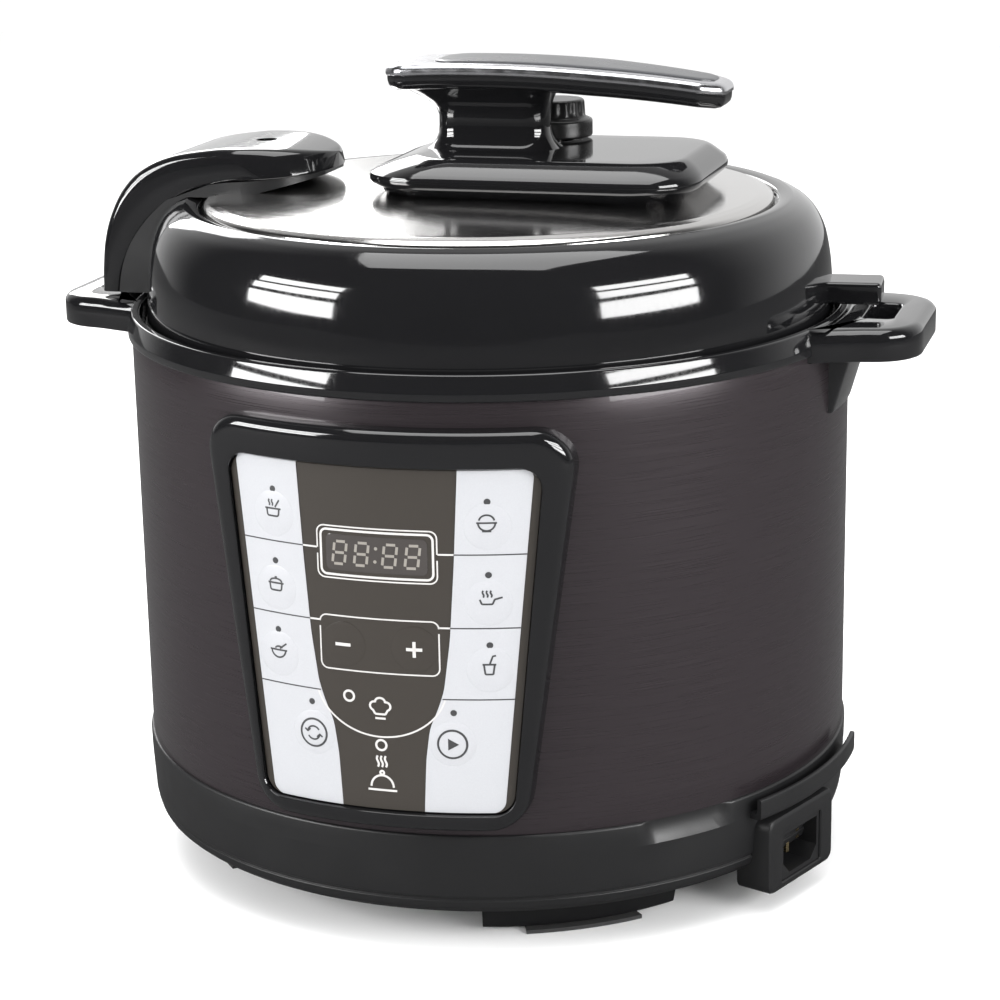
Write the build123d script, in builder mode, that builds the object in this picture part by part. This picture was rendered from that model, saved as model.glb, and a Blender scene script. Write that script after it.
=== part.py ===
"""Electric pressure cooker of about five litres.

Millimetres. +Z is up, the front panel faces -Y and the side handles lie along X.
The origin is on the cooker's axis, on the surface that it stands on.
Angles round the body are counted from the front (-Y) towards +X.
"""

import os
from math import asin, cos, degrees, radians, sin

from build123d import *

os.makedirs("parts", exist_ok=True)

# Driving dimensions: body
shell_r = 140.0
shell_wall = 0.8
shell_bottom = 49.0
collar_bottom = 209.0
lip_top = 218.5
collar_r = 141.5
base_bottom = 6.0
plastic_wall = 2.5

# Driving dimensions: pots
pot_r = 110.0
pot_wall = 1.6
pot_floor = 62.0
pot_rim = 210.0
outer_pot_r = 113.5
outer_pot_wall = 1.2
outer_pot_floor = 46.0
flange_top = 208.0
flange_r = 122.0
flange_lug_r = 128.5
lug_count = 6
lug_span = 26.0

# Driving dimensions: front panel
panel_r = 148.0
face_r = 146.0
face_thick = 2.0
face_back = face_r - face_thick
key_r = 8.4
key_gap = 0.4
key_travel = 0.5
board_y = -121.0
board_thick = 1.6
key_columns = (39.3, 39.3, 39.3, 26.0)
key_rows = (166.3, 138.8, 114.1, 86.4)
step_key_x = 13.2
step_key_z = 121.2
display_z = 155.0
display_w = 38.0
display_h = 14.0

# Driving dimensions: lid
disc_r = 111.0
disc_edge = 256.0
disc_shoulder_r = 106.0
disc_shoulder = 260.0
disc_top = 263.0
disc_thick = 1.0
block_top = 276.6
grip_top = 310.0
valve_x = 20.0
valve_y = 30.0
float_x = 56.0
float_y = -6.0
arm_half = 30.0
arm_screw_x = -91.0
screw_spots = ((-8, -24), (60, -24), (-8, 34), (62, 34))

# Driving dimensions: handles, inlet and cup
handle_x = 172.0
handle_thick = 12.0
slot_x = 154.0
slot_w = 11.0
slot_l = 28.5
inlet_angle = 68.6
inlet_z = 21.0
inlet_w = 27.4
inlet_h = 19.8
cup_r = 152.5


def facing(angle, radius, height):
    """Plane that faces outwards at an angle round the body, with its y axis upright."""
    out = (sin(radians(angle)), -cos(radians(angle)), 0)
    side = (cos(radians(angle)), sin(radians(angle)), 0)
    return Plane(origin=(radius * out[0], radius * out[1], height), x_dir=side, z_dir=out)


def meridian(angle):
    """Upright plane through the axis: x is the radius at that angle and y is the height."""
    out = (sin(radians(angle)), -cos(radians(angle)), 0)
    return Plane(origin=(0, 0, 0), x_dir=out, z_dir=(out[1], -out[0], 0))


def turned(points):
    """A body of revolution about the axis, from its half section of (radius, height) points."""
    with BuildPart() as body:
        with BuildSketch(Plane.XZ):
            with BuildLine():
                Polyline(*points, close=True)
            make_face()
        revolve(axis=Axis.Z)
    return body.part


def sector(points, start, span):
    """Part of a turn of the half section, from an angle and over a span in degrees."""
    with BuildPart() as body:
        with BuildSketch(meridian(start)):
            with BuildLine():
                Polyline(*points, close=True)
            make_face()
        revolve(axis=Axis.Z, revolution_arc=span)
    return body.part


def rectangle_points(r0, r1, z0, z1):
    """Corners of a rectangular half section."""
    return [(r0, z0), (r1, z0), (r1, z1), (r0, z1)]


# ---------------------------------------------------------------- outer shell
with BuildPart() as outer_shell:
    with BuildSketch(Plane.XY.offset(shell_bottom)):
        Circle(shell_r)
        Circle(shell_r - shell_wall, mode=Mode.SUBTRACT)
    extrude(amount=collar_bottom - shell_bottom)
    # window behind the panel, for the keys and the display
    with BuildSketch(Plane.XZ.offset(100)):
        with Locations((0, 126)):
            RectangleRounded(104, 112, 10)
    extrude(amount=60, mode=Mode.SUBTRACT)
outer_shell.part.label = "outer_shell"
export_step(outer_shell.part, "parts/outer_shell.step")

# ---------------------------------------------------------------- collar ring with its gutter
gutter_floor = 199.5
gutter_r = 136.6
collar_points = [
    (outer_pot_r + outer_pot_wall, gutter_floor - plastic_wall),
    (shell_r - shell_wall - 0.1, gutter_floor - plastic_wall),
    (shell_r - shell_wall - 0.1, collar_bottom),
    (collar_r, collar_bottom),
    (collar_r, collar_bottom + 2.5),
    (139.6, lip_top - 1.0),
    (138.6, lip_top),
    (137.4, lip_top),
    (gutter_r, lip_top - 1.5),
    (gutter_r, gutter_floor),
    (outer_pot_r + outer_pot_wall, gutter_floor),
]
with BuildPart() as collar_ring:
    add(turned(collar_points))
    # drain from the gutter down to the condensate cup
    with BuildSketch(facing(180, 130, 202.5)):
        Rectangle(10, 5)
    extrude(amount=20, mode=Mode.SUBTRACT)
collar_ring.part.label = "collar_ring"
export_step(collar_ring.part, "parts/collar_ring.step")


# ---------------------------------------------------------------- side handles
def side_handle(side):
    """Loop handle on one side: a flat slotted loop, with a curved bracket against the shell."""
    loop_bottom = lip_top - handle_thick
    root = 138.0
    with BuildPart() as handle:
        with BuildSketch(Plane.XY.offset(loop_bottom)):
            with BuildLine():
                Polyline(
                    (side * 120, -46), (side * root, -44), (side * 150, -38), (side * handle_x, -34),
                    (side * handle_x, 34), (side * 150, 38), (side * root, 44), (side * 120, 46), close=True,
                )
            make_face()
        extrude(amount=handle_thick)
        corners = handle.edges().filter_by(Axis.Z).filter_by(lambda e: abs(abs(e.center().X) - handle_x) < 0.1)
        fillet(corners, 19)
        outer_rim = handle.faces().sort_by(Axis.Z)[-1].edges().filter_by(
            lambda e: abs(e.center().X) > root - 2
        )
        chamfer(outer_rim, 2.2)
        # bracket that carries the loop down to the shell
        with BuildSketch(Plane.XZ.offset(-24)):
            with BuildLine():
                Polyline(
                    (side * 120, loop_bottom), (side * 148, loop_bottom), (side * 145, 196),
                    (side * 141.6, 183), (side * 120, 183), close=True,
                )
            make_face()
        extrude(amount=48)
        with BuildSketch(Plane.XY.offset(loop_bottom)):
            with Locations((side * slot_x, 0)):
                RectangleRounded(slot_w, slot_l, 2.5)
        extrude(amount=handle_thick, mode=Mode.SUBTRACT)
        # seat against the collar above and the shell below
        with BuildSketch(Plane.XY.offset(loop_bottom - 40)):
            Circle(collar_r + 0.05)
        extrude(amount=80, mode=Mode.SUBTRACT)
    return handle.part


# lid switch, read through the wall of the left handle by the magnet in the lid's arm
switch_x = -144.5
switch_y = 20.0
with BuildPart() as left_handle:
    add(side_handle(-1))
    with BuildSketch(Plane.XY.offset(lip_top - handle_thick)):
        with Locations((switch_x, switch_y)):
            Rectangle(4.4, 16.4)
    extrude(amount=8, mode=Mode.SUBTRACT)
left_handle.part.label = "left_handle"
export_step(left_handle.part, "parts/left_handle.step")

with BuildPart() as right_handle:
    add(side_handle(1))
right_handle.part.label = "right_handle"
export_step(right_handle.part, "parts/right_handle.step")

with BuildPart() as lid_switch:
    with BuildSketch(Plane.XY.offset(lip_top - handle_thick + 0.5)):
        with Locations((switch_x, switch_y)):
            Rectangle(4, 16)
    extrude(amount=7)
lid_switch.part.label = "lid_switch"
export_step(lid_switch.part, "parts/lid_switch.step")

# two screws hold each handle from inside the shell
with BuildPart() as handle_screws:
    for side_angle in (-90, 90):
        for offset_angle in (-7, 7):
            with BuildSketch(facing(side_angle + offset_angle, shell_r - shell_wall - 2.5, 189)):
                Circle(3.6)
            extrude(amount=2.4)
handle_screws.part.label = "handle_screws"
export_step(handle_screws.part, "parts/handle_screws.step")

# ---------------------------------------------------------------- base ring
foot_angles = [32 + 90 * k for k in range(4)]
foot_span = 35.0
base_points = [
    (136.4, 53),
    (shell_r - shell_wall - 0.1, 53),
    (shell_r - shell_wall - 0.1, shell_bottom),
    (141.0, shell_bottom),
    (140.8, 40),
    (140.0, 24.6),
    (139.2, 24.2),
    (139.2, 23.4),
    (139.7, 23.0),
    (138.8, 19.5),
    (136.6, 16.0),
    (130.0, 7.4),
    (126.0, base_bottom),
    (98.0, base_bottom),
    (98.0, base_bottom + plastic_wall),
    (126.5, base_bottom + plastic_wall),
    (134.0, 17.6),
    (136.4, 24),
]
with BuildPart() as base_ring:
    add(turned(base_points))
    for angle in foot_angles:
        add(sector(rectangle_points(106, 121, 1.5, base_bottom + 0.5), angle - foot_span / 2, foot_span))
    # drip guard: a gutter that stands off the wall above the inlet, open at the top
    add(sector([(139.5, 40), (146.4, 40), (146.4, 48), (144.2, 48), (144.2, 42), (139.5, 42)], 58, 50))
    # boss that holds the power inlet
    with BuildSketch(facing(inlet_angle, 131, 23)):
        RectangleRounded(46, 30, 4)
    extrude(amount=14.5)
    with BuildSketch(facing(inlet_angle, 120, inlet_z)):
        Rectangle(inlet_w + 0.4, inlet_h + 0.4)
    extrude(amount=40, mode=Mode.SUBTRACT)
    # pocket in the top edge, beside the inlet
    add(sector(rectangle_points(138.2, 145, 42, 49.5), 39, 14), mode=Mode.SUBTRACT)
    with PolarLocations(102, 4, start_angle=-13):
        Hole(1.7, depth=60)
base_ring.part.label = "base_ring"
export_step(base_ring.part, "parts/base_ring.step")

with BuildPart() as foot_pads:
    for angle in foot_angles:
        add(sector(rectangle_points(108.5, 118.5, 0, 1.5), angle - 11, 22))
foot_pads.part.label = "foot_pads"
export_step(foot_pads.part, "parts/foot_pads.step")

# ---------------------------------------------------------------- bottom plate and its screws
plate_bottom = base_bottom + plastic_wall
power_board_z = 18.0
power_board_spot = (10, -62)
with BuildPart() as bottom_plate:
    with BuildSketch(Plane.XY.offset(plate_bottom)):
        Circle(107)
        with PolarLocations(60, 12):
            SlotOverall(34, 5, mode=Mode.SUBTRACT)
        with PolarLocations(102, 4, start_angle=-13):
            Circle(1.7, mode=Mode.SUBTRACT)
    extrude(amount=1)
    # pressed posts that carry the power board
    with BuildSketch(Plane.XY.offset(plate_bottom + 1)):
        with Locations(power_board_spot):
            with GridLocations(86, 46, 2, 2):
                Circle(3)
    extrude(amount=power_board_z - plate_bottom - 1)
bottom_plate.part.label = "bottom_plate"
export_step(bottom_plate.part, "parts/bottom_plate.step")

with BuildPart() as bottom_screws:
    with BuildSketch(Plane.XY.offset(base_bottom - 1.8)):
        with PolarLocations(102, 4, start_angle=-13):
            Circle(3.4)
    extrude(amount=1.8)
    with BuildSketch(Plane.XY.offset(base_bottom)):
        with PolarLocations(102, 4, start_angle=-13):
            Circle(1.6)
    extrude(amount=8)
bottom_screws.part.label = "bottom_screws"
export_step(bottom_screws.part, "parts/bottom_screws.step")

# ---------------------------------------------------------------- power inlet
inlet_face = 144.6
inlet_depth = 24.0
socket_depth = 16.0
pin_recess = 5.5
with BuildPart() as inlet_pins:
    with BuildSketch(facing(inlet_angle, inlet_face - inlet_depth - 6, inlet_z)):
        with Locations((-7, 1.5), (7, 1.5), (0, -2)):
            Rectangle(2, 4)
    extrude(amount=inlet_depth + 6 - pin_recess)
inlet_pins.part.label = "inlet_pins"
export_step(inlet_pins.part, "parts/inlet_pins.step")

with BuildPart() as power_inlet:
    with BuildSketch(facing(inlet_angle, inlet_face - inlet_depth, inlet_z)):
        Rectangle(inlet_w, inlet_h)
    extrude(amount=inlet_depth)
    # socket for the plug, with its two lower corners cut off
    with BuildSketch(facing(inlet_angle, inlet_face - socket_depth, inlet_z)):
        with BuildLine():
            Polyline((-12, 8.2), (12, 8.2), (12, -3.5), (7.5, -8.2), (-7.5, -8.2), (-12, -3.5), close=True)
        make_face()
    extrude(amount=socket_depth + 1, mode=Mode.SUBTRACT)
    add(inlet_pins.part, mode=Mode.SUBTRACT)
power_inlet.part.label = "power_inlet"
export_step(power_inlet.part, "parts/power_inlet.step")

# ---------------------------------------------------------------- outer pot with its bayonet flange
pot_gap_r = outer_pot_r + outer_pot_wall
terminal_spots = ((-60, 40), (-60, 52))
outer_pot_points = [
    (20, outer_pot_floor),
    (pot_gap_r, outer_pot_floor),
    (pot_gap_r, flange_top - 2),
    (flange_r, flange_top - 2),
    (flange_r, flange_top),
    (outer_pot_r, flange_top),
    (outer_pot_r, outer_pot_floor + 1.2),
    (20, outer_pot_floor + 1.2),
]
lug_pitch = 360 / lug_count
with BuildPart() as outer_pot:
    add(turned(outer_pot_points))
    for k in range(lug_count):
        lug = rectangle_points(flange_r - 1, flange_lug_r, flange_top - 2, flange_top)
        add(sector(lug, k * lug_pitch - lug_span / 2, lug_span))
    with Locations(*[(x, y, outer_pot_floor) for x, y in terminal_spots]):
        Hole(3.6, depth=3)
outer_pot.part.label = "outer_pot"
export_step(outer_pot.part, "parts/outer_pot.step")

with BuildPart() as insulation_sleeve:
    add(turned(rectangle_points(pot_gap_r + 0.3, pot_gap_r + 2.6, 62, 192)))
insulation_sleeve.part.label = "insulation_sleeve"
export_step(insulation_sleeve.part, "parts/insulation_sleeve.step")

# ---------------------------------------------------------------- heater plate and its sensor
heater_top = pot_floor - 0.4
with BuildPart() as heater_plate:
    add(turned(rectangle_points(20, 92, outer_pot_floor + 1.2, heater_top)))
    # the ends of the cast-in heating element, which pass through the outer pot's floor
    with BuildSketch(Plane.XY.offset(outer_pot_floor - 12)):
        with Locations(*terminal_spots):
            Circle(3)
    extrude(amount=14)
heater_plate.part.label = "heater_plate"
export_step(heater_plate.part, "parts/heater_plate.step")

sensor_top = pot_floor - 0.3
with BuildPart() as temperature_sensor:
    add(turned([(0, 40), (4, 40), (4, 56), (17, 56), (17, sensor_top), (0, sensor_top)]))
temperature_sensor.part.label = "temperature_sensor"
export_step(temperature_sensor.part, "parts/temperature_sensor.step")

with BuildPart() as sensor_spring:
    add(turned(rectangle_points(6, 8.5, 35, 56)))
sensor_spring.part.label = "sensor_spring"
export_step(sensor_spring.part, "parts/sensor_spring.step")

# spring plate: the dished steel bar under the outer pot that gives way as the pressure rises
with BuildPart() as spring_plate:
    with BuildSketch(Plane.XY.offset(outer_pot_floor - 3)):
        SlotOverall(228, 34)
        Circle(10, mode=Mode.SUBTRACT)
    extrude(amount=3)
    with BuildSketch(Plane.XY.offset(plate_bottom + 1)):
        with Locations((-95, 0), (95, 0)):
            Circle(5)
    extrude(amount=outer_pot_floor - 3 - plate_bottom - 1)
spring_plate.part.label = "spring_plate"
export_step(spring_plate.part, "parts/spring_plate.step")

with BuildPart() as sensor_cup:
    add(turned([(0, 32), (13, 32), (13, 43), (9.8, 43), (9.8, 35), (0, 35)]))
sensor_cup.part.label = "sensor_cup"
export_step(sensor_cup.part, "parts/sensor_cup.step")

with BuildPart() as pressure_switch:
    with BuildSketch(Plane.XY.offset(28)):
        with Locations((40, 26)):
            Rectangle(20, 12)
    extrude(amount=14)
    with BuildSketch(Plane.XY.offset(42)):
        with Locations((40, 26)):
            Circle(2)
    extrude(amount=4)
pressure_switch.part.label = "pressure_switch"
export_step(pressure_switch.part, "parts/pressure_switch.step")

# ---------------------------------------------------------------- boards
with BuildPart() as power_board:
    with BuildSketch(Plane.XY.offset(power_board_z)):
        with Locations(power_board_spot):
            Rectangle(96, 56)
    extrude(amount=board_thick)
    # transformer, relay and capacitor
    with BuildSketch(Plane.XY.offset(power_board_z + board_thick)):
        with Locations((-14, -62), (12, -50), (40, -70)):
            Rectangle(18, 16)
    extrude(amount=14)
power_board.part.label = "power_board"
export_step(power_board.part, "parts/power_board.step")

with BuildPart() as control_board:
    with BuildSketch(Plane.XZ.offset(-board_y - board_thick)):
        with Locations((0, 126)):
            Rectangle(98, 106)
    extrude(amount=board_thick)
control_board.part.label = "control_board"
export_step(control_board.part, "parts/control_board.step")

# where the ten keys lie: (name, x, z)
keys = []
for number, (column, row) in enumerate(zip(key_columns, key_rows), start=1):
    keys.append((f"left_key_{number}", -column, row))
    keys.append((f"right_key_{number}", column, row))
keys.append(("minus_key", -step_key_x, step_key_z))
keys.append(("plus_key", step_key_x, step_key_z))

switch_depth = 3.5
with BuildPart() as key_switches:
    for key_name, x, z in keys:
        with BuildSketch(Plane.XZ.offset(-board_y)):
            with Locations((x, z)):
                Rectangle(6, 6)
        extrude(amount=switch_depth)
key_switches.part.label = "key_switches"
export_step(key_switches.part, "parts/key_switches.step")


def angle_of(x):
    """Angle round the body at which the face plate stands that far from its centre line."""
    return degrees(asin(x / face_r))


with BuildPart() as display_module:
    with BuildSketch(Plane.XZ.offset(-board_y)):
        with Locations((0, display_z)):
            Rectangle(display_w, display_h)
    extrude(amount=15)
display_module.part.label = "display_module"
export_step(display_module.part, "parts/display_module.step")

with BuildPart() as thermal_fuse:
    with BuildSketch(Plane.XY.offset(outer_pot_floor - 6)):
        with Locations((60, 45)):
            Rectangle(22, 9)
    extrude(amount=6)
thermal_fuse.part.label = "thermal_fuse"
export_step(thermal_fuse.part, "parts/thermal_fuse.step")

# ---------------------------------------------------------------- front panel
face_outline = ((-46.5, 60), (46.5, 60), (58, 186.5), (-58, 186.5))
bezel_outline = ((-50.5, 53), (50.5, 53), (69.5, 200), (-69.5, 200))


def curved_plate(outline, inner, outer, corner):
    """The part of a ring between two radii that a rounded outline cuts out, seen from the front."""
    with BuildPart() as ring:
        add(turned(rectangle_points(inner, outer, 40, 215)))
        with BuildSketch(Plane.XZ.offset(100)):
            with BuildLine():
                Polyline(*outline, close=True)
            make_face()
            fillet(vertices(), corner)
        extrude(amount=60, mode=Mode.INTERSECT)
    return ring.part


def key_holes(radius, from_r, depth):
    """Cutters for the key holes, each along its own key's line."""
    with BuildPart() as cutters:
        for key_name, x, z in keys:
            with BuildSketch(facing(angle_of(x), from_r, z)):
                Circle(radius)
            extrude(amount=depth)
    return cutters.part


face_pocket = curved_plate(face_outline, face_back, 160, 7)
with BuildPart() as panel_bezel:
    add(curved_plate(bezel_outline, shell_r + 0.05, panel_r, 14))
    add(face_pocket, mode=Mode.SUBTRACT)
    add(key_holes(4.0, 130, 30), mode=Mode.SUBTRACT)
    with BuildSketch(Plane.XZ.offset(120)):
        with Locations((0, display_z)):
            Rectangle(display_w + 1, display_h + 1)
    extrude(amount=30, mode=Mode.SUBTRACT)
panel_bezel.part.label = "panel_bezel"
export_step(panel_bezel.part, "parts/panel_bezel.step")

with BuildPart() as panel_face:
    add(curved_plate(face_outline, face_back, face_r, 7))
    add(key_holes(key_r + key_gap, 130, 30), mode=Mode.SUBTRACT)
    with BuildSketch(Plane.XZ.offset(120)):
        with Locations((0, display_z)):
            RectangleRounded(display_w, display_h, 2)
    extrude(amount=40, mode=Mode.SUBTRACT)
panel_face.part.label = "panel_face"
export_step(panel_face.part, "parts/panel_face.step")

with BuildPart() as display_window:
    add(turned(rectangle_points(face_back, face_r, 130, 180)))
    with BuildSketch(Plane.XZ.offset(120)):
        with Locations((0, display_z)):
            RectangleRounded(display_w, display_h, 2)
    extrude(amount=40, mode=Mode.INTERSECT)
display_window.part.label = "display_window"
export_step(display_window.part, "parts/display_window.step")

# keys: a round cap in the face plate, and a stem that reaches the switch on the board
for key_name, x, z in keys:
    key_angle = angle_of(x)
    board_front = -board_y + switch_depth
    stem_r = board_front / cos(radians(key_angle)) + 1.2
    with BuildPart() as key:
        with BuildSketch(facing(key_angle, face_back + 0.6, z)):
            Circle(key_r)
        extrude(amount=face_thick - 0.4)
        with BuildSketch(facing(key_angle, stem_r, z)):
            Circle(2.4)
        extrude(amount=face_back + 0.6 - stem_r)
    key.part.label = key_name
    export_step(key.part, f"parts/{key_name}.step")

# ---------------------------------------------------------------- condensate cup at the back
cup_rail_w = 14.0
with BuildPart() as cup_rail:
    with BuildSketch(facing(180, shell_r - 0.4, 186)):
        Rectangle(cup_rail_w, 26)
    extrude(amount=3)
    add(turned(rectangle_points(100, shell_r + 0.02, 150, 220)), mode=Mode.SUBTRACT)
cup_rail.part.label = "cup_rail"
export_step(cup_rail.part, "parts/cup_rail.step")

cup_bottom = 166.0
cup_top = 204.0
with BuildPart() as condensate_cup:
    add(sector(rectangle_points(shell_r + 0.6, cup_r, cup_bottom, cup_top), 180 - 16, 32))
    hollow = rectangle_points(shell_r + 5, cup_r - 1.5, cup_bottom + 1.5, cup_top + 1)
    add(sector(hollow, 180 - 15, 30), mode=Mode.SUBTRACT)
    # channel in the cup's back for the rail, open at the top
    with BuildSketch(facing(180, 130, 190)):
        Rectangle(cup_rail_w + 1, 36)
    extrude(amount=shell_r + 3.2 - 130, mode=Mode.SUBTRACT)
condensate_cup.part.label = "condensate_cup"
export_step(condensate_cup.part, "parts/condensate_cup.step")

# ---------------------------------------------------------------- inner pot
bend_r = 12.0
pot_out = pot_r + pot_wall
with BuildPart() as inner_pot:
    with BuildSketch(Plane.XZ):
        with BuildLine():
            Line((0, pot_floor), (pot_out - bend_r, pot_floor))
            CenterArc((pot_out - bend_r, pot_floor + bend_r), bend_r, -90, 90)
            Line((pot_out, pot_floor + bend_r), (pot_out, pot_rim - 1.5))
            Line((pot_out, pot_rim - 1.5), (119, pot_rim - 1.5))
            Line((119, pot_rim - 1.5), (119, pot_rim))
            Line((119, pot_rim), (pot_r, pot_rim))
            Line((pot_r, pot_rim), (pot_r, pot_floor + bend_r))
            CenterArc((pot_out - bend_r, pot_floor + bend_r), bend_r - pot_wall, 0, -90)
            Line((pot_out - bend_r, pot_floor + pot_wall), (0, pot_floor + pot_wall))
            Line((0, pot_floor + pot_wall), (0, pot_floor))
        make_face()
    revolve(axis=Axis.Z)
inner_pot.part.label = "inner_pot"
export_step(inner_pot.part, "parts/inner_pot.step")

# ---------------------------------------------------------------- sealing ring
seal_points = [
    (113, pot_rim + 0.4),
    (124, pot_rim + 0.4),
    (127.5, 213.5),
    (127.5, 218),
    (114.5, 218),
    (114.5, 215.6),
    (121, 215.6),
    (121, 213.2),
    (113, 213.2),
]
with BuildPart() as sealing_ring:
    add(turned(seal_points))
sealing_ring.part.label = "sealing_ring"
export_step(sealing_ring.part, "parts/sealing_ring.step")

# ---------------------------------------------------------------- inner lid with its bayonet lugs
skirt_in = 129.5
skirt_out = 131.0
liner_low = 201.0
liner_flat = 218.6
liner_top = 238.0
inner_lid_points = [
    (0, liner_top - 1.2),
    (91.5, liner_top - 1.2),
    (103.5, liner_flat),
    (skirt_in, liner_flat),
    (skirt_in, liner_low),
    (skirt_out, liner_low),
    (skirt_out, liner_flat + 1.5),
    (104.4, liner_flat + 1.5),
    (92.4, liner_top),
    (0, liner_top),
]
with BuildPart() as inner_lid:
    add(turned(inner_lid_points))
    for k in range(lug_count):
        lug = rectangle_points(123.2, skirt_in + 0.5, liner_low, liner_low + 2)
        add(sector(lug, (k + 0.5) * lug_pitch - lug_span / 2, lug_span))
    with Locations((valve_x, valve_y, liner_top)):
        Hole(3.1, depth=20)
    with Locations((float_x, float_y, liner_top)):
        Hole(3.0, depth=20)
    with Locations(*[(x, y, liner_top) for x, y in screw_spots]):
        Hole(2.2, depth=20)
inner_lid.part.label = "inner_lid"
export_step(inner_lid.part, "parts/inner_lid.step")

# ---------------------------------------------------------------- lid ring
with BuildPart() as lid_ring:
    with BuildSketch(Plane.XZ):
        with BuildLine():
            Polyline((131.3, 211), (134.2, 211), (133.5, 219))
            Spline((133.5, 219), (132.3, 235), (130, 247), (126, 252.9), (117, 258.7))
            Line((117, 258.7), (112.4, disc_edge + 0.6))
            Polyline(
                (112.4, disc_edge + 0.6), (112.0, 254.6), (100, 254.6), (100, 252.4), (114, 252.4), (122.6, 249.2),
                (126.6, 244), (129, 234), (129.8, 223), (118, 223), (118, 220.4), (131.3, 220.4), (131.3, 211),
            )
        make_face()
    revolve(axis=Axis.Z)
lid_ring.part.label = "lid_ring"
export_step(lid_ring.part, "parts/lid_ring.step")


# ---------------------------------------------------------------- steel lid disc
def under_dome(drop):
    """Solid up to the disc's surface, less a drop: what lies on the lid is cut with it."""
    with BuildPart() as dome:
        with BuildSketch(Plane.XZ):
            with BuildLine():
                ThreePointArc(
                    (0, disc_top - drop),
                    (disc_shoulder_r / 2, disc_top - 0.75 - drop),
                    (disc_shoulder_r, disc_shoulder - drop),
                )
                Polyline((disc_shoulder_r, disc_shoulder - drop), (disc_r, disc_edge - drop), (disc_r, 225), (0, 225))
                Line((0, 225), (0, disc_top - drop))
            make_face()
        revolve(axis=Axis.Z)
    return dome.part


with BuildPart() as lid_disc:
    add(under_dome(0))
    add(under_dome(disc_thick), mode=Mode.SUBTRACT)
    with BuildSketch(Plane.XY.offset(220)):
        Circle(disc_r)
    extrude(amount=disc_edge - 1.4 - 220, mode=Mode.SUBTRACT)
    with Locations((valve_x, valve_y, disc_top + 2)):
        Hole(4.0, depth=20)
    with Locations((float_x, float_y, disc_top + 2)):
        Hole(4.0, depth=20)
    with Locations(*[(x, y, disc_top + 2) for x, y in screw_spots], (arm_screw_x, 0, disc_top + 2)):
        Hole(2.2, depth=20)
lid_disc.part.label = "lid_disc"
export_step(lid_disc.part, "parts/lid_disc.step")

# ---------------------------------------------------------------- handle block on the lid
block_x = 24.5
block_y = 2.5
with BuildPart() as handle_block:
    with BuildSketch(Plane.XY.offset(257)):
        with Locations((block_x, block_y)):
            RectangleRounded(112, 78, 20)
    with BuildSketch(Plane.XY.offset(267.5)):
        with Locations((block_x, block_y)):
            RectangleRounded(129, 94, 24)
    loft(ruled=True)
    with BuildSketch(Plane.XY.offset(267.5)):
        with Locations((block_x, block_y)):
            RectangleRounded(129, 94, 24)
    extrude(amount=2.5)
    with BuildSketch(Plane.XY.offset(270)):
        with Locations((block_x, block_y)):
            RectangleRounded(129, 94, 24)
    with BuildSketch(Plane.XY.offset(block_top)):
        with Locations((block_x + 6, block_y + 0.5)):
            RectangleRounded(102, 74, 18)
    loft(ruled=True)
    add(under_dome(0), mode=Mode.SUBTRACT)
    with Locations((valve_x, valve_y, block_top)):
        Hole(4.0, depth=30)
    # pocket for the float valve, closed at the top
    with Locations((float_x, float_y, 253)):
        Hole(3.6, depth=20)
    with Locations(*[(x, y, 254.0) for x, y in screw_spots]):
        Hole(2.1, depth=15)
handle_block.part.label = "handle_block"
export_step(handle_block.part, "parts/handle_block.step")

with BuildPart() as lid_screws:
    with BuildSketch(Plane.XY.offset(liner_top - 3.4)):
        with Locations(*screw_spots):
            Circle(4)
    extrude(amount=2.2)
    with BuildSketch(Plane.XY.offset(liner_top - 1.2)):
        with Locations(*screw_spots):
            Circle(2)
    extrude(amount=30)
lid_screws.part.label = "lid_screws"
export_step(lid_screws.part, "parts/lid_screws.step")

# ---------------------------------------------------------------- grip: stem and bar
bar_left = -37.0
bar_right = 95.0
bar_y = 2.0
bar_half = 20.0
trim_thick = 4.0


def bar_band(top_drop, bottom_drop, inset):
    """A layer of the bar, between two drops below its curved top, inset from its outline."""
    with BuildPart() as band:
        with BuildSketch(Plane.XZ.offset(-40)):
            with BuildLine():
                ThreePointArc(
                    (bar_left, grip_top - 0.8 - top_drop), (20, grip_top - top_drop), (bar_right, grip_top - 7 - top_drop)
                )
                Line((bar_right, grip_top - 7 - top_drop), (bar_right, grip_top - 7 - bottom_drop))
                ThreePointArc(
                    (bar_right, grip_top - 7 - bottom_drop), (20, grip_top - bottom_drop),
                    (bar_left, grip_top - 0.8 - bottom_drop),
                )
                Line((bar_left, grip_top - 0.8 - bottom_drop), (bar_left, grip_top - 0.8 - top_drop))
            make_face()
        extrude(amount=80)
        with BuildSketch(Plane.XY.offset(270)):
            with BuildLine():
                Polyline(
                    (bar_left + inset, bar_y - bar_half + 6), (bar_left + 6, bar_y - bar_half + inset),
                    (45, bar_y - bar_half + inset), (bar_right - 9, bar_y - 15 + inset),
                    (bar_right - inset, bar_y - 9), (bar_right - inset, bar_y + 9),
                    (bar_right - 9, bar_y + 15 - inset), (45, bar_y + bar_half - inset),
                    (bar_left + 6, bar_y + bar_half - inset), (bar_left + inset, bar_y + bar_half - 6), close=True,
                )
            make_face()
            fillet(vertices(), 3)
        extrude(amount=60, mode=Mode.INTERSECT)
    return band.part


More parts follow.
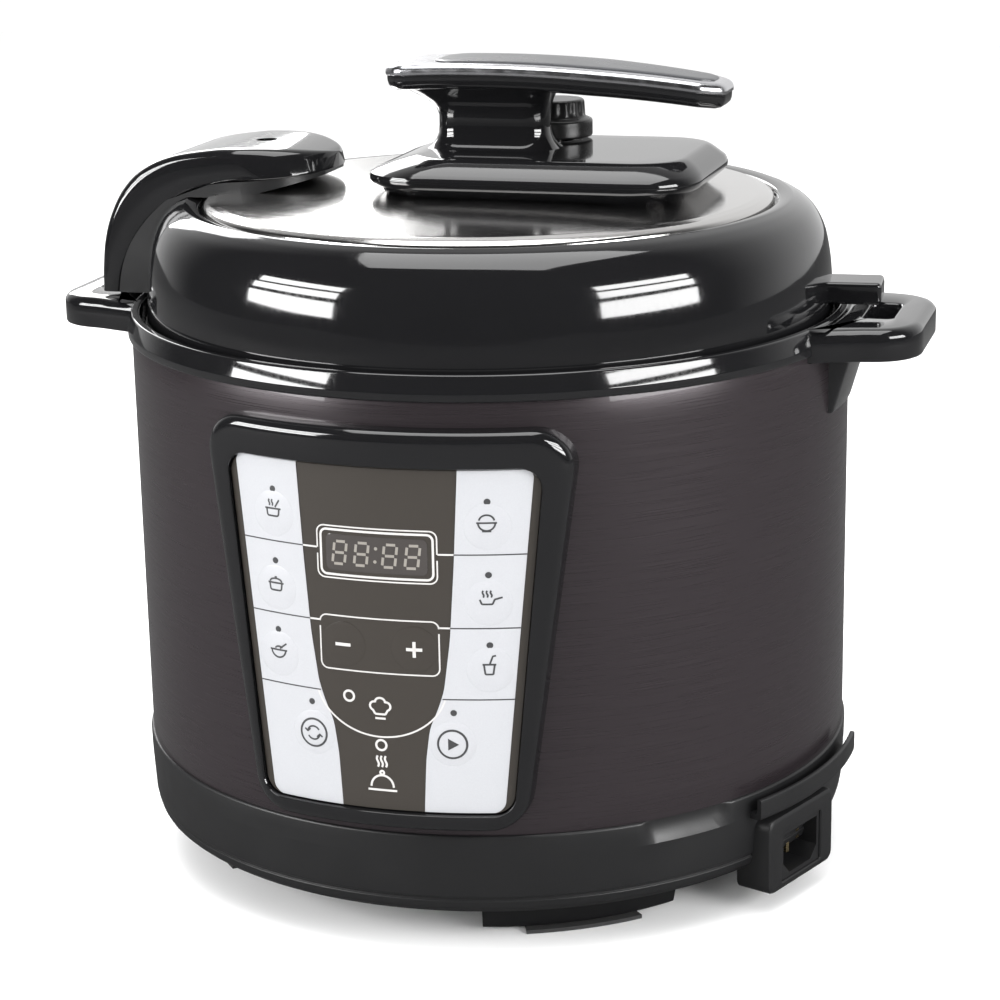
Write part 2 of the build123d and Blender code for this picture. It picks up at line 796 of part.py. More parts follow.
stem_y = 3.0
with BuildPart() as grip:
    add(bar_band(trim_thick, 10, 0.6))
    with BuildSketch(Plane.XY.offset(block_top)):
        with Locations((2.5, stem_y)):
            RectangleRounded(52, 26, 11)
    with BuildSketch(Plane.XY.offset(block_top + 6)):
        with Locations((2.5, stem_y)):
            RectangleRounded(44, 19, 9)
    loft(ruled=True)
    with BuildSketch(Plane.XY.offset(block_top + 6)):
        with Locations((2.5, stem_y)):
            RectangleRounded(44, 19, 9)
    extrude(amount=8)
    with BuildSketch(Plane.XY.offset(block_top + 14)):
        with Locations((2.5, stem_y)):
            RectangleRounded(44, 19, 9)
    with BuildSketch(Plane.XY.offset(grip_top - 9.5)):
        with Locations((-3, bar_y)):
            RectangleRounded(60, 32, 12)
    loft(ruled=True)
    with BuildSketch(Plane.XY.offset(block_top)):
        with Locations((valve_x, valve_y)):
            Circle(15.2)
    extrude(amount=20.5, mode=Mode.SUBTRACT)
grip.part.label = "grip"
export_step(grip.part, "parts/grip.step")

inlay_left = bar_left + 18
inlay_right = bar_right - 5


def inlay_prism():
    """Long rounded strip, seen from above, that the trim holds."""
    with BuildPart() as prism:
        with BuildSketch(Plane.XY.offset(280)):
            with BuildLine():
                Polyline(
                    (inlay_left, bar_y - 8), (inlay_left + 6, bar_y - 14), (45, bar_y - 14), (inlay_right - 4, bar_y - 9),
                    (inlay_right, bar_y - 5), (inlay_right, bar_y + 5), (inlay_right - 4, bar_y + 9), (45, bar_y + 14),
                    (inlay_left + 6, bar_y + 14), (inlay_left, bar_y + 8), close=True,
                )
            make_face()
            fillet(vertices(), 3)
        extrude(amount=50)
    return prism.part


with BuildPart() as grip_trim:
    add(bar_band(0, trim_thick, 0))
    with BuildPart(mode=Mode.PRIVATE) as inlay_room:
        add(inlay_prism())
        add(bar_band(-9, 2, 0), mode=Mode.INTERSECT)
    add(inlay_room.part, mode=Mode.SUBTRACT)
grip_trim.part.label = "grip_trim"
export_step(grip_trim.part, "parts/grip_trim.step")

with BuildPart() as grip_inlay:
    add(inlay_prism())
    add(bar_band(-0.8, 2, 0), mode=Mode.INTERSECT)
grip_inlay.part.label = "grip_inlay"
export_step(grip_inlay.part, "parts/grip_inlay.step")

# ---------------------------------------------------------------- arm over the left of the lid

def arm_prism():
    """Plan of the arm: straight sides and a round inner end."""
    with BuildPart() as prism:
        with BuildSketch(Plane.XY.offset(200)):
            with Locations((arm_screw_x - 40, 0)):
                Rectangle(80, 2 * arm_half)
            with Locations((arm_screw_x, 0)):
                Circle(arm_half)
        extrude(amount=100)
    return prism.part


def lid_envelope(gap):
    """Everything inside the lid ring's outer surface, grown by a gap."""
    with BuildPart() as body:
        with BuildSketch(Plane.XZ):
            with BuildLine():
                Polyline((0, 200), (134.2 + gap, 200), (134.2 + gap, 211), (133.5 + gap, 219))
                Spline(
                    (133.5 + gap, 219), (132.3 + gap, 235), (130 + gap, 247), (126 + gap, 252.9 + gap), (117, 258.7 + gap)
                )
                Polyline((117, 258.7 + gap), (0, 258.7 + gap), (0, 200))
            make_face()
        revolve(axis=Axis.Z)
        add(under_dome(0))
    return body.part


with BuildPart() as arm_cover:
    with BuildSketch(Plane.XZ.offset(-50)):
        with BuildLine():
            Line((-61, 267.6), (-64, 274.6))
            ThreePointArc((-64, 274.6), (-84, 277), (-104, 275.6))
            Spline((-104, 275.6), (-128, 265), (-145.5, 243), (-152.5, 220), tangents=((-1, -0.12), (-0.1, -1)))
            Line((-152.5, 220), (-144.5, 220))
            Spline((-144.5, 220), (-139.5, 238), (-124, 256), (-98, 264.6), tangents=((0.1, 1), (1, 0.12)))
            Line((-98, 264.6), (-61, 267.6))
        make_face()
    extrude(amount=100)
    add(arm_prism(), mode=Mode.INTERSECT)
    with BuildSketch(Plane.XY.offset(268)):
        with Locations((arm_screw_x, 0)):
            Circle(4.2)
    extrude(amount=20, mode=Mode.SUBTRACT)
    with BuildSketch(Plane.XY.offset(240)):
        with Locations((arm_screw_x, 0)):
            Circle(2.1)
    extrude(amount=40, mode=Mode.SUBTRACT)
arm_cover.part.label = "arm_cover"
export_step(arm_cover.part, "parts/arm_cover.step")

with BuildPart() as arm_base:
    with BuildSketch(Plane.XZ.offset(-50)):
        with BuildLine():
            Polyline(
                (-63, 268), (-98, 266), (-126, 256), (-142, 238), (-146, 220), (-132, 220), (-120, 240),
                (-104, 256), (-63, 266.0), close=True,
            )
        make_face()
    extrude(amount=100)
    add(arm_prism(), mode=Mode.INTERSECT)
    add(arm_cover.part, mode=Mode.SUBTRACT)
    add(lid_envelope(0.05), mode=Mode.SUBTRACT)
    with BuildSketch(Plane.XY.offset(240)):
        with Locations((arm_screw_x, 0)):
            Circle(2.1)
    extrude(amount=40, mode=Mode.SUBTRACT)
    with BuildSketch(Plane.XY.offset(220)):
        with Locations((-139.5, 18)):
            Rectangle(4.4, 12.4)
    extrude(amount=8, mode=Mode.SUBTRACT)
arm_base.part.label = "arm_base"
export_step(arm_base.part, "parts/arm_base.step")

with BuildPart() as arm_screw:
    with BuildSketch(Plane.XY.offset(268)):
        with Locations((arm_screw_x, 0)):
            Circle(3.8)
    extrude(amount=2.5)
    with BuildSketch(Plane.XY.offset(256)):
        with Locations((arm_screw_x, 0)):
            Circle(2)
    extrude(amount=12)
    with BuildSketch(Plane.XY.offset(269.2)):
        with Locations((arm_screw_x, 0)):
            RectangleRounded(5, 1.4, 0.4)
            RectangleRounded(1.4, 5, 0.4)
    extrude(amount=2, mode=Mode.SUBTRACT)
arm_screw.part.label = "arm_screw"
export_step(arm_screw.part, "parts/arm_screw.step")

with BuildPart() as lid_magnet:
    with BuildSketch(Plane.XY.offset(221)):
        with Locations((-139.5, 18)):
            Rectangle(4, 12)
    extrude(amount=6)
lid_magnet.part.label = "lid_magnet"
export_step(lid_magnet.part, "parts/lid_magnet.step")

# ---------------------------------------------------------------- tab over the right handle
tab_angle = 94.0
with BuildPart() as lid_tab:
    with BuildSketch(facing(tab_angle, 120, 224.2)):
        Rectangle(19, 8.4)
    extrude(amount=33)
    add(lid_envelope(0.05), mode=Mode.SUBTRACT)
lid_tab.part.label = "lid_tab"
export_step(lid_tab.part, "parts/lid_tab.step")

# ---------------------------------------------------------------- steam pipe, valve and float
with BuildPart() as steam_pipe:
    with BuildSketch(Plane.XY.offset(230)):
        with Locations((valve_x, valve_y)):
            Circle(3.0)
            Circle(1.5, mode=Mode.SUBTRACT)
    extrude(amount=54)
    with BuildSketch(Plane.XY.offset(234.8)):
        with Locations((valve_x, valve_y)):
            Circle(7)
            Circle(2.5, mode=Mode.SUBTRACT)
    extrude(amount=2)
steam_pipe.part.label = "steam_pipe"
export_step(steam_pipe.part, "parts/steam_pipe.step")

with BuildPart() as anti_block_cap:
    with BuildSketch(Plane.XY.offset(224)):
        with Locations((valve_x, valve_y)):
            Circle(10)
    extrude(amount=10.8)
    with BuildSketch(Plane.XY.offset(225.2)):
        with Locations((valve_x, valve_y)):
            Circle(8.8)
    extrude(amount=10, mode=Mode.SUBTRACT)
    with BuildSketch(Plane.XY.offset(220)):
        with Locations((valve_x, valve_y)):
            with PolarLocations(5.5, 6):
                Circle(1.3)
    extrude(amount=8, mode=Mode.SUBTRACT)
anti_block_cap.part.label = "anti_block_cap"
export_step(anti_block_cap.part, "parts/anti_block_cap.step")

with BuildPart() as pressure_weight:
    with BuildSketch(Plane.XY.offset(280.5)):
        with Locations((valve_x, valve_y)):
            Circle(6)
    extrude(amount=8.5)
    with BuildSketch(Plane.XY.offset(280)):
        with Locations((valve_x, valve_y)):
            Circle(3.4)
    extrude(amount=4.4, mode=Mode.SUBTRACT)
pressure_weight.part.label = "pressure_weight"
export_step(pressure_weight.part, "parts/pressure_weight.step")

with BuildPart() as pressure_knob:
    with BuildSketch(Plane.XY.offset(block_top + 0.8)):
        with Locations((valve_x, valve_y)):
            Circle(14)
    extrude(amount=6.6)
    with BuildSketch(Plane.XY.offset(block_top + 7.4)):
        with Locations((valve_x, valve_y)):
            Circle(11)
    extrude(amount=8)
    with BuildSketch(Plane.XY.offset(block_top)):
        with Locations((valve_x, valve_y)):
            Circle(6.4)
    extrude(amount=12.8, mode=Mode.SUBTRACT)
pressure_knob.part.label = "pressure_knob"
export_step(pressure_knob.part, "parts/pressure_knob.step")

with BuildPart() as float_valve:
    with BuildSketch(Plane.XY.offset(227)):
        with Locations((float_x, float_y)):
            Circle(5.5)
    extrude(amount=3)
    with BuildSketch(Plane.XY.offset(230)):
        with Locations((float_x, float_y)):
            Circle(2.6)
    extrude(amount=36)
float_valve.part.label = "float_valve"
export_step(float_valve.part, "parts/float_valve.step")
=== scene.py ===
"""Electric pressure cooker: the looks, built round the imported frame."""

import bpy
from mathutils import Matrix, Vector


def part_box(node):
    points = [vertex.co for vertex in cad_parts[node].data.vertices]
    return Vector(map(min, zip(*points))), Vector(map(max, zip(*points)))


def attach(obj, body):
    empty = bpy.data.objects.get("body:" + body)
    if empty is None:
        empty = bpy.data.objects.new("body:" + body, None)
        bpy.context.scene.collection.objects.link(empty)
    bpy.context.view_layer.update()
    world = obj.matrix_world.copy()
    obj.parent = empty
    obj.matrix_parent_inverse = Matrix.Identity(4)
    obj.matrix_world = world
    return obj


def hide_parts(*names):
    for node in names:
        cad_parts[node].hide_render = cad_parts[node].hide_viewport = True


bl_info = {
    "name": "Electric pressure cooker",
    "version": (1, 0, 0),
    "blender": (4, 5, 0),
    "location": "3D View > Sidebar > Cooker",
    "description": "Builds the visible pieces of an electric pressure cooker round its CAD frame",
    "category": "Add Mesh",
}

from math import asin, cos, pi, radians, sin, tan

import bmesh
import bpy
import numpy as np
from bpy.props import FloatProperty, FloatVectorProperty, PointerProperty
from bpy.types import Operator, Panel, PropertyGroup
from mathutils import Matrix

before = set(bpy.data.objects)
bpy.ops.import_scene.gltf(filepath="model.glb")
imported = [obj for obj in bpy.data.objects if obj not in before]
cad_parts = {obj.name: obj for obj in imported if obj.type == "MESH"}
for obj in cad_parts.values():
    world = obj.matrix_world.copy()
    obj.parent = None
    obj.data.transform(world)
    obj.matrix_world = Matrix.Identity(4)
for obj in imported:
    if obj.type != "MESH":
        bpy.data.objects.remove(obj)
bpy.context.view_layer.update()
MM = 0.001


def low(node):
    """Lowest corner of a CAD node, in millimetres."""
    return np.array(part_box(node)[0]) / MM


def high(node):
    """Highest corner of a CAD node, in millimetres."""
    return np.array(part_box(node)[1]) / MM


SHELL_R = high("outer_shell")[0]
FACE_R = 146.0
PANEL_R = 148.0
BLOCK_TOP = high("handle_block")[2]
TURN = 288


# ---------------------------------------------------------------- shapes as arrays
def smooth(t):
    """Smooth step: 0 below 0, 1 above 1, and 3t^2 - 2t^3 between them."""
    t = np.clip(t, 0, 1)
    return t * t * (3 - 2 * t)


def rounded(points, radii, steps=6, closed=False, gap=None):
    """Polyline with an arc of its own radius at each corner, tangent to both sides.

    An arc's centre lies on the corner's bisector, radius / cos(half the turn) away. Returns the points and,
    at each, the unit normal that points to the right of the way along. With gap, straight runs longer than
    it are divided evenly."""
    points = np.asarray(points, float)
    count = len(points)
    radii = np.broadcast_to(radii, count)
    out, normals = [], []
    for i in range(count):
        p = points[i]
        if not closed and i in (0, count - 1):
            q = points[1] - p if i == 0 else p - points[-2]
            q = q / np.linalg.norm(q)
            out.append(p[None])
            normals.append(np.array([[q[1], -q[0]]]))
            continue
        a = p - points[i - 1]
        b = points[(i + 1) % count] - p
        a, b = a / np.linalg.norm(a), b / np.linalg.norm(b)
        turn = np.arctan2(a[0] * b[1] - a[1] * b[0], a @ b)
        na, nb = np.array([a[1], -a[0]]), np.array([b[1], -b[0]])
        if radii[i] <= 0 or abs(turn) < 1e-6:
            miter = (na + nb) / max(1 + na @ nb, 0.2)
            out.append(p[None])
            normals.append(miter[None])
            continue
        start = p - a * radii[i] * tan(abs(turn) / 2)
        side = 1.0 if turn < 0 else -1.0
        centre = start + side * na * radii[i]
        angles = np.linspace(0, turn, steps + 1)
        c, s = np.cos(angles), np.sin(angles)
        swing = np.stack([c * na[0] - s * na[1], s * na[0] + c * na[1]], axis=1)
        out.append(centre - side * swing * radii[i])
        normals.append(swing)
    out, normals = np.vstack(out), np.vstack(normals)
    if gap:
        out, normals = divided(out, normals, gap, closed)
    return out, normals


def divided(points, normals, gap, closed):
    """Adds evenly spaced points on every run longer than gap, with their normals between the ends' normals."""
    ends = np.roll(points, -1, axis=0) if closed else points[1:]
    end_normals = np.roll(normals, -1, axis=0) if closed else normals[1:]
    starts = points if closed else points[:-1]
    start_normals = normals if closed else normals[:-1]
    parts = np.maximum(1, np.ceil(np.linalg.norm(ends - starts, axis=1) / gap - 1e-6).astype(int))
    which = np.repeat(np.arange(len(starts)), parts)
    t = ((np.arange(parts.sum()) - np.repeat(np.cumsum(parts) - parts, parts)) / parts[which])[:, None]
    out = starts[which] * (1 - t) + ends[which] * t
    out_normals = start_normals[which] * (1 - t) + end_normals[which] * t
    if not closed:
        out, out_normals = np.vstack([out, points[-1:]]), np.vstack([out_normals, normals[-1:]])
    return out, out_normals


def profile(points, radii, steps=5, gap=None):
    """Points of an open rounded polyline, for a turned piece: (radius, height) pairs."""
    return rounded(points, radii, steps, gap=gap)[0]


def closed_profile(points, radii, steps=5, gap=None):
    """Points of a closed rounded polyline."""
    return rounded(points, radii, steps, closed=True, gap=gap)[0]


def turned(section, start=0.0, span=360.0, segments=TURN, closed=True):
    """Surface of revolution: each (radius, height) of the section carried round the axis.

    Angles count from the front towards +X. A part turn gets its two ends capped."""
    full = abs(span - 360) < 1e-6
    count = segments if full else max(4, int(segments * span / 360)) + 1
    angles = np.radians(start + np.linspace(0, span, count, endpoint=not full))[:, None]
    r, z = section[:, 0], section[:, 1]
    points = np.stack([np.sin(angles) * r, -np.cos(angles) * r, np.broadcast_to(z, (count, len(z)))], axis=2)
    return grid(points, wrap_u=full, wrap_v=closed, caps=not full and closed)


def grid(points, wrap_u=False, wrap_v=False, caps=False):
    """Quads between neighbouring points of a grid, wrapped round where asked.

    Caps close the first and the last row with one face each. Returns vertices and faces."""
    nu, nv = points.shape[:2]
    index = np.arange(nu * nv).reshape(nu, nv)
    first, last = index[0], index[-1]
    if wrap_u:
        index = np.vstack([index, index[:1]])
    if wrap_v:
        index = np.hstack([index, index[:, :1]])
    quads = np.stack([index[:-1, :-1], index[1:, :-1], index[1:, 1:], index[:-1, 1:]], axis=-1).reshape(-1, 4)
    faces = quads.tolist()
    if caps:
        faces += [first.tolist(), last[::-1].tolist()]
    return points.reshape(-1, 3), faces


def stacked(outline, layers, axis_y=0.0, rings=4):
    """Closed solid from one outline: each layer is the outline moved inwards by an inset, at a height.

    outline is (points, normals) in the plane. The two ends close by drawing their loops in to the line
    y = axis_y in even steps, so that a curved surface keeps its curve. Returns (rows, points, 3)."""
    points, normals = outline
    rows = []
    for inset, height in layers:
        loop = points - normals * inset
        rows.append(np.column_stack([loop, np.full(len(loop), height)]))

    steps = np.linspace(1, 0, rings + 1)[1:]
    return np.array(narrowed(rows[0], steps[::-1], 1, axis_y) + rows + narrowed(rows[-1], steps, 1, axis_y))


def narrowed(loop, factors, axis, middle=0.0):
    """Copies of a loop, each drawn in along one axis to a share of its distance from the middle."""
    copies = []
    for k in factors:
        drawn = loop.copy()
        drawn[..., axis] = middle + (loop[..., axis] - middle) * k
        copies.append(drawn)
    return copies


def centred(outline, layers, centre, rings=3):
    """Closed solid like stacked, but whose ends draw in to one point."""
    points, normals = outline
    rows = [np.column_stack([points - normals * i, np.full(len(points), h)]) for i, h in layers]
    middle = np.array([centre[0], centre[1], 0.0])
    steps = np.linspace(1, 0, rings + 1)[1:]
    bottom = [middle + (rows[0] - middle) * np.array([k, k, 1]) for k in steps[::-1]]
    top = [middle + (rows[-1] - middle) * np.array([k, k, 1]) for k in steps]
    return np.array(bottom + rows + top)


def box_outline(x0, x1, y0, y1, radius, steps=6, gap=None):
    """Rounded rectangle, counter-clockwise seen from above."""
    corners = [(x0, y0), (x1, y0), (x1, y1), (x0, y1)]
    return rounded(corners, radius, steps, closed=True, gap=gap)


def disc_outline(x, y, radius, count=64):
    """Circle, counter-clockwise seen from above."""
    a = np.linspace(0, 2 * pi, count, endpoint=False)
    normals = np.stack([np.cos(a), np.sin(a)], axis=1)
    return np.array([x, y]) + radius * normals, normals


def facing(points, angle, base=0.0):
    """Sets (side, up, out) rows upright against the body, at an angle round it in degrees."""
    a = radians(angle)
    side, out = np.array([cos(a), sin(a), 0]), np.array([sin(a), -cos(a), 0])
    up = np.array([0, 0, 1])
    return points[..., :1] * side + points[..., 1:2] * up + (points[..., 2:3] + base) * out


# ---------------------------------------------------------------- pieces
def mesh_from(name, surfaces):
    """One mesh from several (vertices, faces) in millimetres, with its seams and poles merged."""
    vertices, faces, shift = [], [], 0
    for v, f in surfaces:
        vertices.append(np.asarray(v, float))
        faces += [[i + shift for i in face] for face in f]
        shift += len(v)
    mesh = bpy.data.meshes.new(name)
    mesh.from_pydata((np.vstack(vertices) * MM).tolist(), [], faces)
    work = bmesh.new()
    work.from_mesh(mesh)
    bmesh.ops.remove_doubles(work, verts=work.verts, dist=2e-6)
    bmesh.ops.dissolve_degenerate(work, edges=work.edges, dist=1e-7)
    bmesh.ops.recalc_face_normals(work, faces=work.faces)
    work.to_mesh(mesh)
    work.free()
    return mesh


def piece(name, surfaces, material, body="base", stands_for=(), crease=32.0):
    """A finished object: smooth shaded, with edges sharper than the crease angle kept sharp."""
    mesh = mesh_from(name, surfaces)
    mesh.shade_smooth()
    mesh.set_sharp_from_angle(angle=radians(crease))
    mesh.materials.append(material)
    thing = bpy.data.objects.new(name, mesh)
    bpy.context.collection.objects.link(thing)
    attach(thing, body)
    if stands_for:
        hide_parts(*stands_for)
    return thing


def bored(target, cutters):
    """Takes the cutters' solids away from a piece, then removes them."""
    mesh = mesh_from("cutter", cutters)
    cutter = bpy.data.objects.new("cutter", mesh)
    bpy.context.collection.objects.link(cutter)
    modifier = target.modifiers.new("holes", "BOOLEAN")
    modifier.operation = "DIFFERENCE"
    modifier.solver = "EXACT"
    modifier.object = cutter
    bpy.context.view_layer.update()
    graph = bpy.context.evaluated_depsgraph_get()
    cut = bpy.data.meshes.new_from_object(target.evaluated_get(graph))
    cut.name = target.data.name
    target.modifiers.clear()
    target.data = cut
    bpy.data.objects.remove(cutter)
    cut.shade_smooth()
    cut.set_sharp_from_angle(angle=radians(32))
    return target


# ---------------------------------------------------------------- materials
def node_material(name, colour, roughness, metallic=0.0, coat=0.0, specular=0.5):
    """A Principled material whose fixed values stand on the shader's own sockets."""
    material = bpy.data.materials.new(name)
    material.use_nodes = True
    shader = material.node_tree.nodes["Principled BSDF"]
    shader.inputs["Base Color"].default_value = (*colour[:3], 1)
    shader.inputs["Roughness"].default_value = roughness
    shader.inputs["Metallic"].default_value = metallic
    shader.inputs["Coat Weight"].default_value = coat
    shader.inputs["Coat Roughness"].default_value = 0.03
    shader.inputs["Specular IOR Level"].default_value = specular
    return material, shader


def noise(material, scale, detail=3.0, stretch=(1, 1, 1)):
    """Noise over the object's own coordinates, stretched along each axis. Returns its value socket."""
    nodes, links = material.node_tree.nodes, material.node_tree.links
    place = nodes.new("ShaderNodeTexCoord")
    mapping = nodes.new("ShaderNodeMapping")
    mapping.inputs["Scale"].default_value = stretch
    texture = nodes.new("ShaderNodeTexNoise")
    texture.inputs["Scale"].default_value = scale
    texture.inputs["Detail"].default_value = detail
    links.new(place.outputs["Object"], mapping.inputs["Vector"])
    links.new(mapping.outputs["Vector"], texture.inputs["Vector"])
    return texture.outputs["Fac"]


def spread(material, value, out_low, out_high, in_low=0.3, in_high=0.7):
    """Maps a value's range onto another one."""
    node = material.node_tree.nodes.new("ShaderNodeMapRange")
    node.inputs["From Min"].default_value = in_low
    node.inputs["From Max"].default_value = in_high
    node.inputs["To Min"].default_value = out_low
    node.inputs["To Max"].default_value = out_high
    material.node_tree.links.new(value, node.inputs["Value"])
    return node.outputs["Result"]


def between(material, value, first, second):
    """Mixes two colours by a value."""
    node = material.node_tree.nodes.new("ShaderNodeMix")
    node.data_type = "RGBA"
    material.node_tree.links.new(value, node.inputs["Factor"])
    node.inputs["A"].default_value = (*first[:3], 1)
    node.inputs["B"].default_value = (*second[:3], 1)
    return node.outputs["Result"]


def bumped(material, shader, value, distance, strength=1.0):
    """Bump from a value, with its height in metres."""
    node = material.node_tree.nodes.new("ShaderNodeBump")
    node.inputs["Distance"].default_value = distance
    node.inputs["Strength"].default_value = strength
    material.node_tree.links.new(value, node.inputs["Height"])
    material.node_tree.links.new(node.outputs["Normal"], shader.inputs["Normal"])


def tinted(colour, factor):
    """A colour made lighter or darker."""
    return tuple(min(1.0, c * factor) for c in colour[:3])


def gloss_plastic(name, colour, roughness=0.06):
    """Polished moulded plastic: faint flow waves, and fine rubbing marks in its gloss."""
    material, shader = node_material(name, colour, roughness, coat=0.35)
    link = material.node_tree.links.new
    rubbed = noise(material, 900, 4, (1, 1, 0.25))
    link(spread(material, rubbed, roughness * 0.8, roughness * 1.7), shader.inputs["Roughness"])
    tone = noise(material, 25, 2)
    link(between(material, tone, tinted(colour, 0.85), tinted(colour, 1.2)), shader.inputs["Base Color"])
    bumped(material, shader, noise(material, 38, 1), 0.00001, 0.5)
    return material


def satin_plastic(name, colour, roughness=0.42, grain=1600, depth=0.00004):
    """Spark-eroded moulded plastic: a fine pitted grain, rubbed a little smoother in patches."""
    material, shader = node_material(name, colour, roughness)
    link = material.node_tree.links.new
    pits = noise(material, grain, 3)
    wear = noise(material, 45, 3)
    link(spread(material, wear, roughness * 0.88, roughness * 1.15), shader.inputs["Roughness"])
    link(between(material, pits, tinted(colour, 0.82), tinted(colour, 1.2)), shader.inputs["Base Color"])
    bumped(material, shader, pits, depth, 0.6)
    return material


def brushed_metal(name, colour, roughness, streaks=(1, 1, 60), scale=60, metallic=1.0, coat=0.0):
    """Brushed metal: streaks from noise drawn out along the brushing, in colour, gloss and bump."""
    material, shader = node_material(name, colour, roughness, metallic=metallic, coat=coat)
    link = material.node_tree.links.new
    lines = noise(material, scale, 6, streaks)
    cloud = noise(material, 14, 2)
    link(spread(material, lines, roughness * 0.82, roughness * 1.25), shader.inputs["Roughness"])
    mixed = material.node_tree.nodes.new("ShaderNodeMath")
    mixed.operation = "MULTIPLY_ADD"
    mixed.inputs[1].default_value = 0.25
    link(cloud, mixed.inputs[0])
    scaled = spread(material, lines, 0.0, 0.75)
    link(scaled, mixed.inputs[2])
    link(between(material, mixed.outputs[0], tinted(colour, 0.88), tinted(colour, 1.12)), shader.inputs["Base Color"])
    bumped(material, shader, lines, 0.000012, 0.25)
    return material


def polished_metal(name, colour, roughness=0.12):
    """Polished sheet or plating: faint cloudy haze and hairline marks."""
    material, shader = node_material(name, colour, roughness, metallic=1.0)
    link = material.node_tree.links.new
    haze = noise(material, 20, 3)
    marks = noise(material, 240, 5, (1, 6, 1))
    link(spread(material, marks, roughness * 0.8, roughness * 1.35), shader.inputs["Roughness"])
    link(between(material, haze, tinted(colour, 0.94), tinted(colour, 1.05)), shader.inputs["Base Color"])
    return material


def printed_film(name, colour, roughness=0.35):
    """Screen-printed film: a fine even tooth and very slight mottling."""
    material, shader = node_material(name, colour, roughness)
    link = material.node_tree.links.new
    tooth = noise(material, 2200, 2)
    link(between(material, tooth, tinted(colour, 0.94), tinted(colour, 1.05)), shader.inputs["Base Color"])
    link(spread(material, noise(material, 60, 2), roughness * 0.9, roughness * 1.1), shader.inputs["Roughness"])
    bumped(material, shader, tooth, 0.000008, 0.4)
    return material


def soft_rubber(name, colour, roughness=0.6):
    """Rubber or silicone: matt, with a fine uneven skin."""
    material, shader = node_material(name, colour, roughness)
    link = material.node_tree.links.new
    skin = noise(material, 500, 4)
    link(between(material, skin, tinted(colour, 0.88), tinted(colour, 1.08)), shader.inputs["Base Color"])
    link(spread(material, skin, roughness * 0.9, roughness * 1.1), shader.inputs["Roughness"])
    bumped(material, shader, skin, 0.00003, 0.5)
    return material


def made(maker, name, *values, **more):
    """The named material, made the first time that it is asked for."""
    return bpy.data.materials.get(name) or maker(name, *values, **more)


def gloss():
    return made(gloss_plastic, "piano_black", bpy.context.scene.cooker_colours.gloss_black)


def satin():
    return made(satin_plastic, "satin_base", bpy.context.scene.cooker_colours.satin_base)


def dark_steel():
    return made(
        brushed_metal, "coated_shell_steel", bpy.context.scene.cooker_colours.shell, 0.3, (1, 1, 160), 26,
        metallic=0.5, coat=0.25,
    )


def steel():
    return made(polished_metal, "polished_steel", bpy.context.scene.cooker_colours.steel, 0.14)


def plating():
    return made(polished_metal, "satin_plating", bpy.context.scene.cooker_colours.plating, 0.2)


def film():
    return made(printed_film, "panel_film", bpy.context.scene.cooker_colours.film, 0.3)


def strip_film():
    return made(printed_film, "key_strip_film", bpy.context.scene.cooker_colours.strip, 0.38)


def ink():
    return made(printed_film, "dark_ink", (0.035, 0.035, 0.037), 0.45)


def white_ink():
    return made(printed_film, "white_ink", (0.42, 0.41, 0.4), 0.45)


# ---------------------------------------------------------------- sizes and colours
def colour(name, description, default):
    return FloatVectorProperty(name=name, description=description, default=default, subtype="COLOR", min=0, max=1)


def length(name, description, default):
    return FloatProperty(name=name, description=description, default=default * MM, unit="LENGTH", min=0)


class CookerColours(PropertyGroup):
    """The colours of the cooker's finishes."""

    gloss_black: colour("Gloss black", "Lid ring, collar, handles and front bezel", (0.006, 0.006, 0.0065))
    satin_base: colour("Base", "Textured plastic of the base", (0.007, 0.007, 0.0075))
    shell: colour("Shell", "Dark coated steel of the body", (0.03, 0.024, 0.027))
    steel: colour("Lid steel", "Polished disc of the lid", (0.66, 0.65, 0.64))
    plating: colour("Trim", "Silver trim round the grip", (0.6, 0.6, 0.62))
    inlay: colour("Grip inlay", "Grey strip on top of the grip", (0.05, 0.051, 0.055))
    film: colour("Panel film", "Dark part of the control panel", (0.0085, 0.0075, 0.007))
    strip: colour("Key strips", "Light strips that the keys lie on", (0.33, 0.335, 0.35))
    glass: colour("Display", "Unlit display", (0.04, 0.036, 0.034))
    digits: colour("Digits", "Unlit segments of the display", (0.2, 0.185, 0.165))
    floor: colour("Floor", "Floor and surroundings", (0.93, 0.93, 0.93))


class CookerSizes(PropertyGroup):
    """Sizes of small details that the CAD model leaves plain."""

    edge: length("Edge rounding", "Radius of the moulded edges", 1.2)
    key_dome: length("Key dome", "Height of a key over the panel film", 0.75)
    ink: length("Ink", "Thickness of the panel's print", 0.05)
    line: length("Printed line", "Width of the panel's thin lines", 0.6)
    bolder: length("Pictogram line", "Width of the pictograms' strokes", 0.75)


def size(name):
    """A size of the scene, in millimetres."""
    return getattr(bpy.context.scene.cooker_sizes, name) / MM


def tone(name):
    """A colour of the scene."""
    return tuple(getattr(bpy.context.scene.cooker_colours, name))


# ---------------------------------------------------------------- body
class COOKER_OT_shell(Operator):
    """Coated steel shell: a turned wall whose lower edge tucks into the base"""

    bl_idname = "cooker.shell"
    bl_label = "Shell"

    def execute(self, context):
        wall = closed_profile(
            [(SHELL_R - 0.8, 49), (SHELL_R, 49), (SHELL_R, 209), (SHELL_R - 0.8, 209)], 0.15, steps=2, gap=12
        )
        piece("shell_wall", [turned(wall)], dark_steel(), stands_for=["outer_shell"])
        return {"FINISHED"}


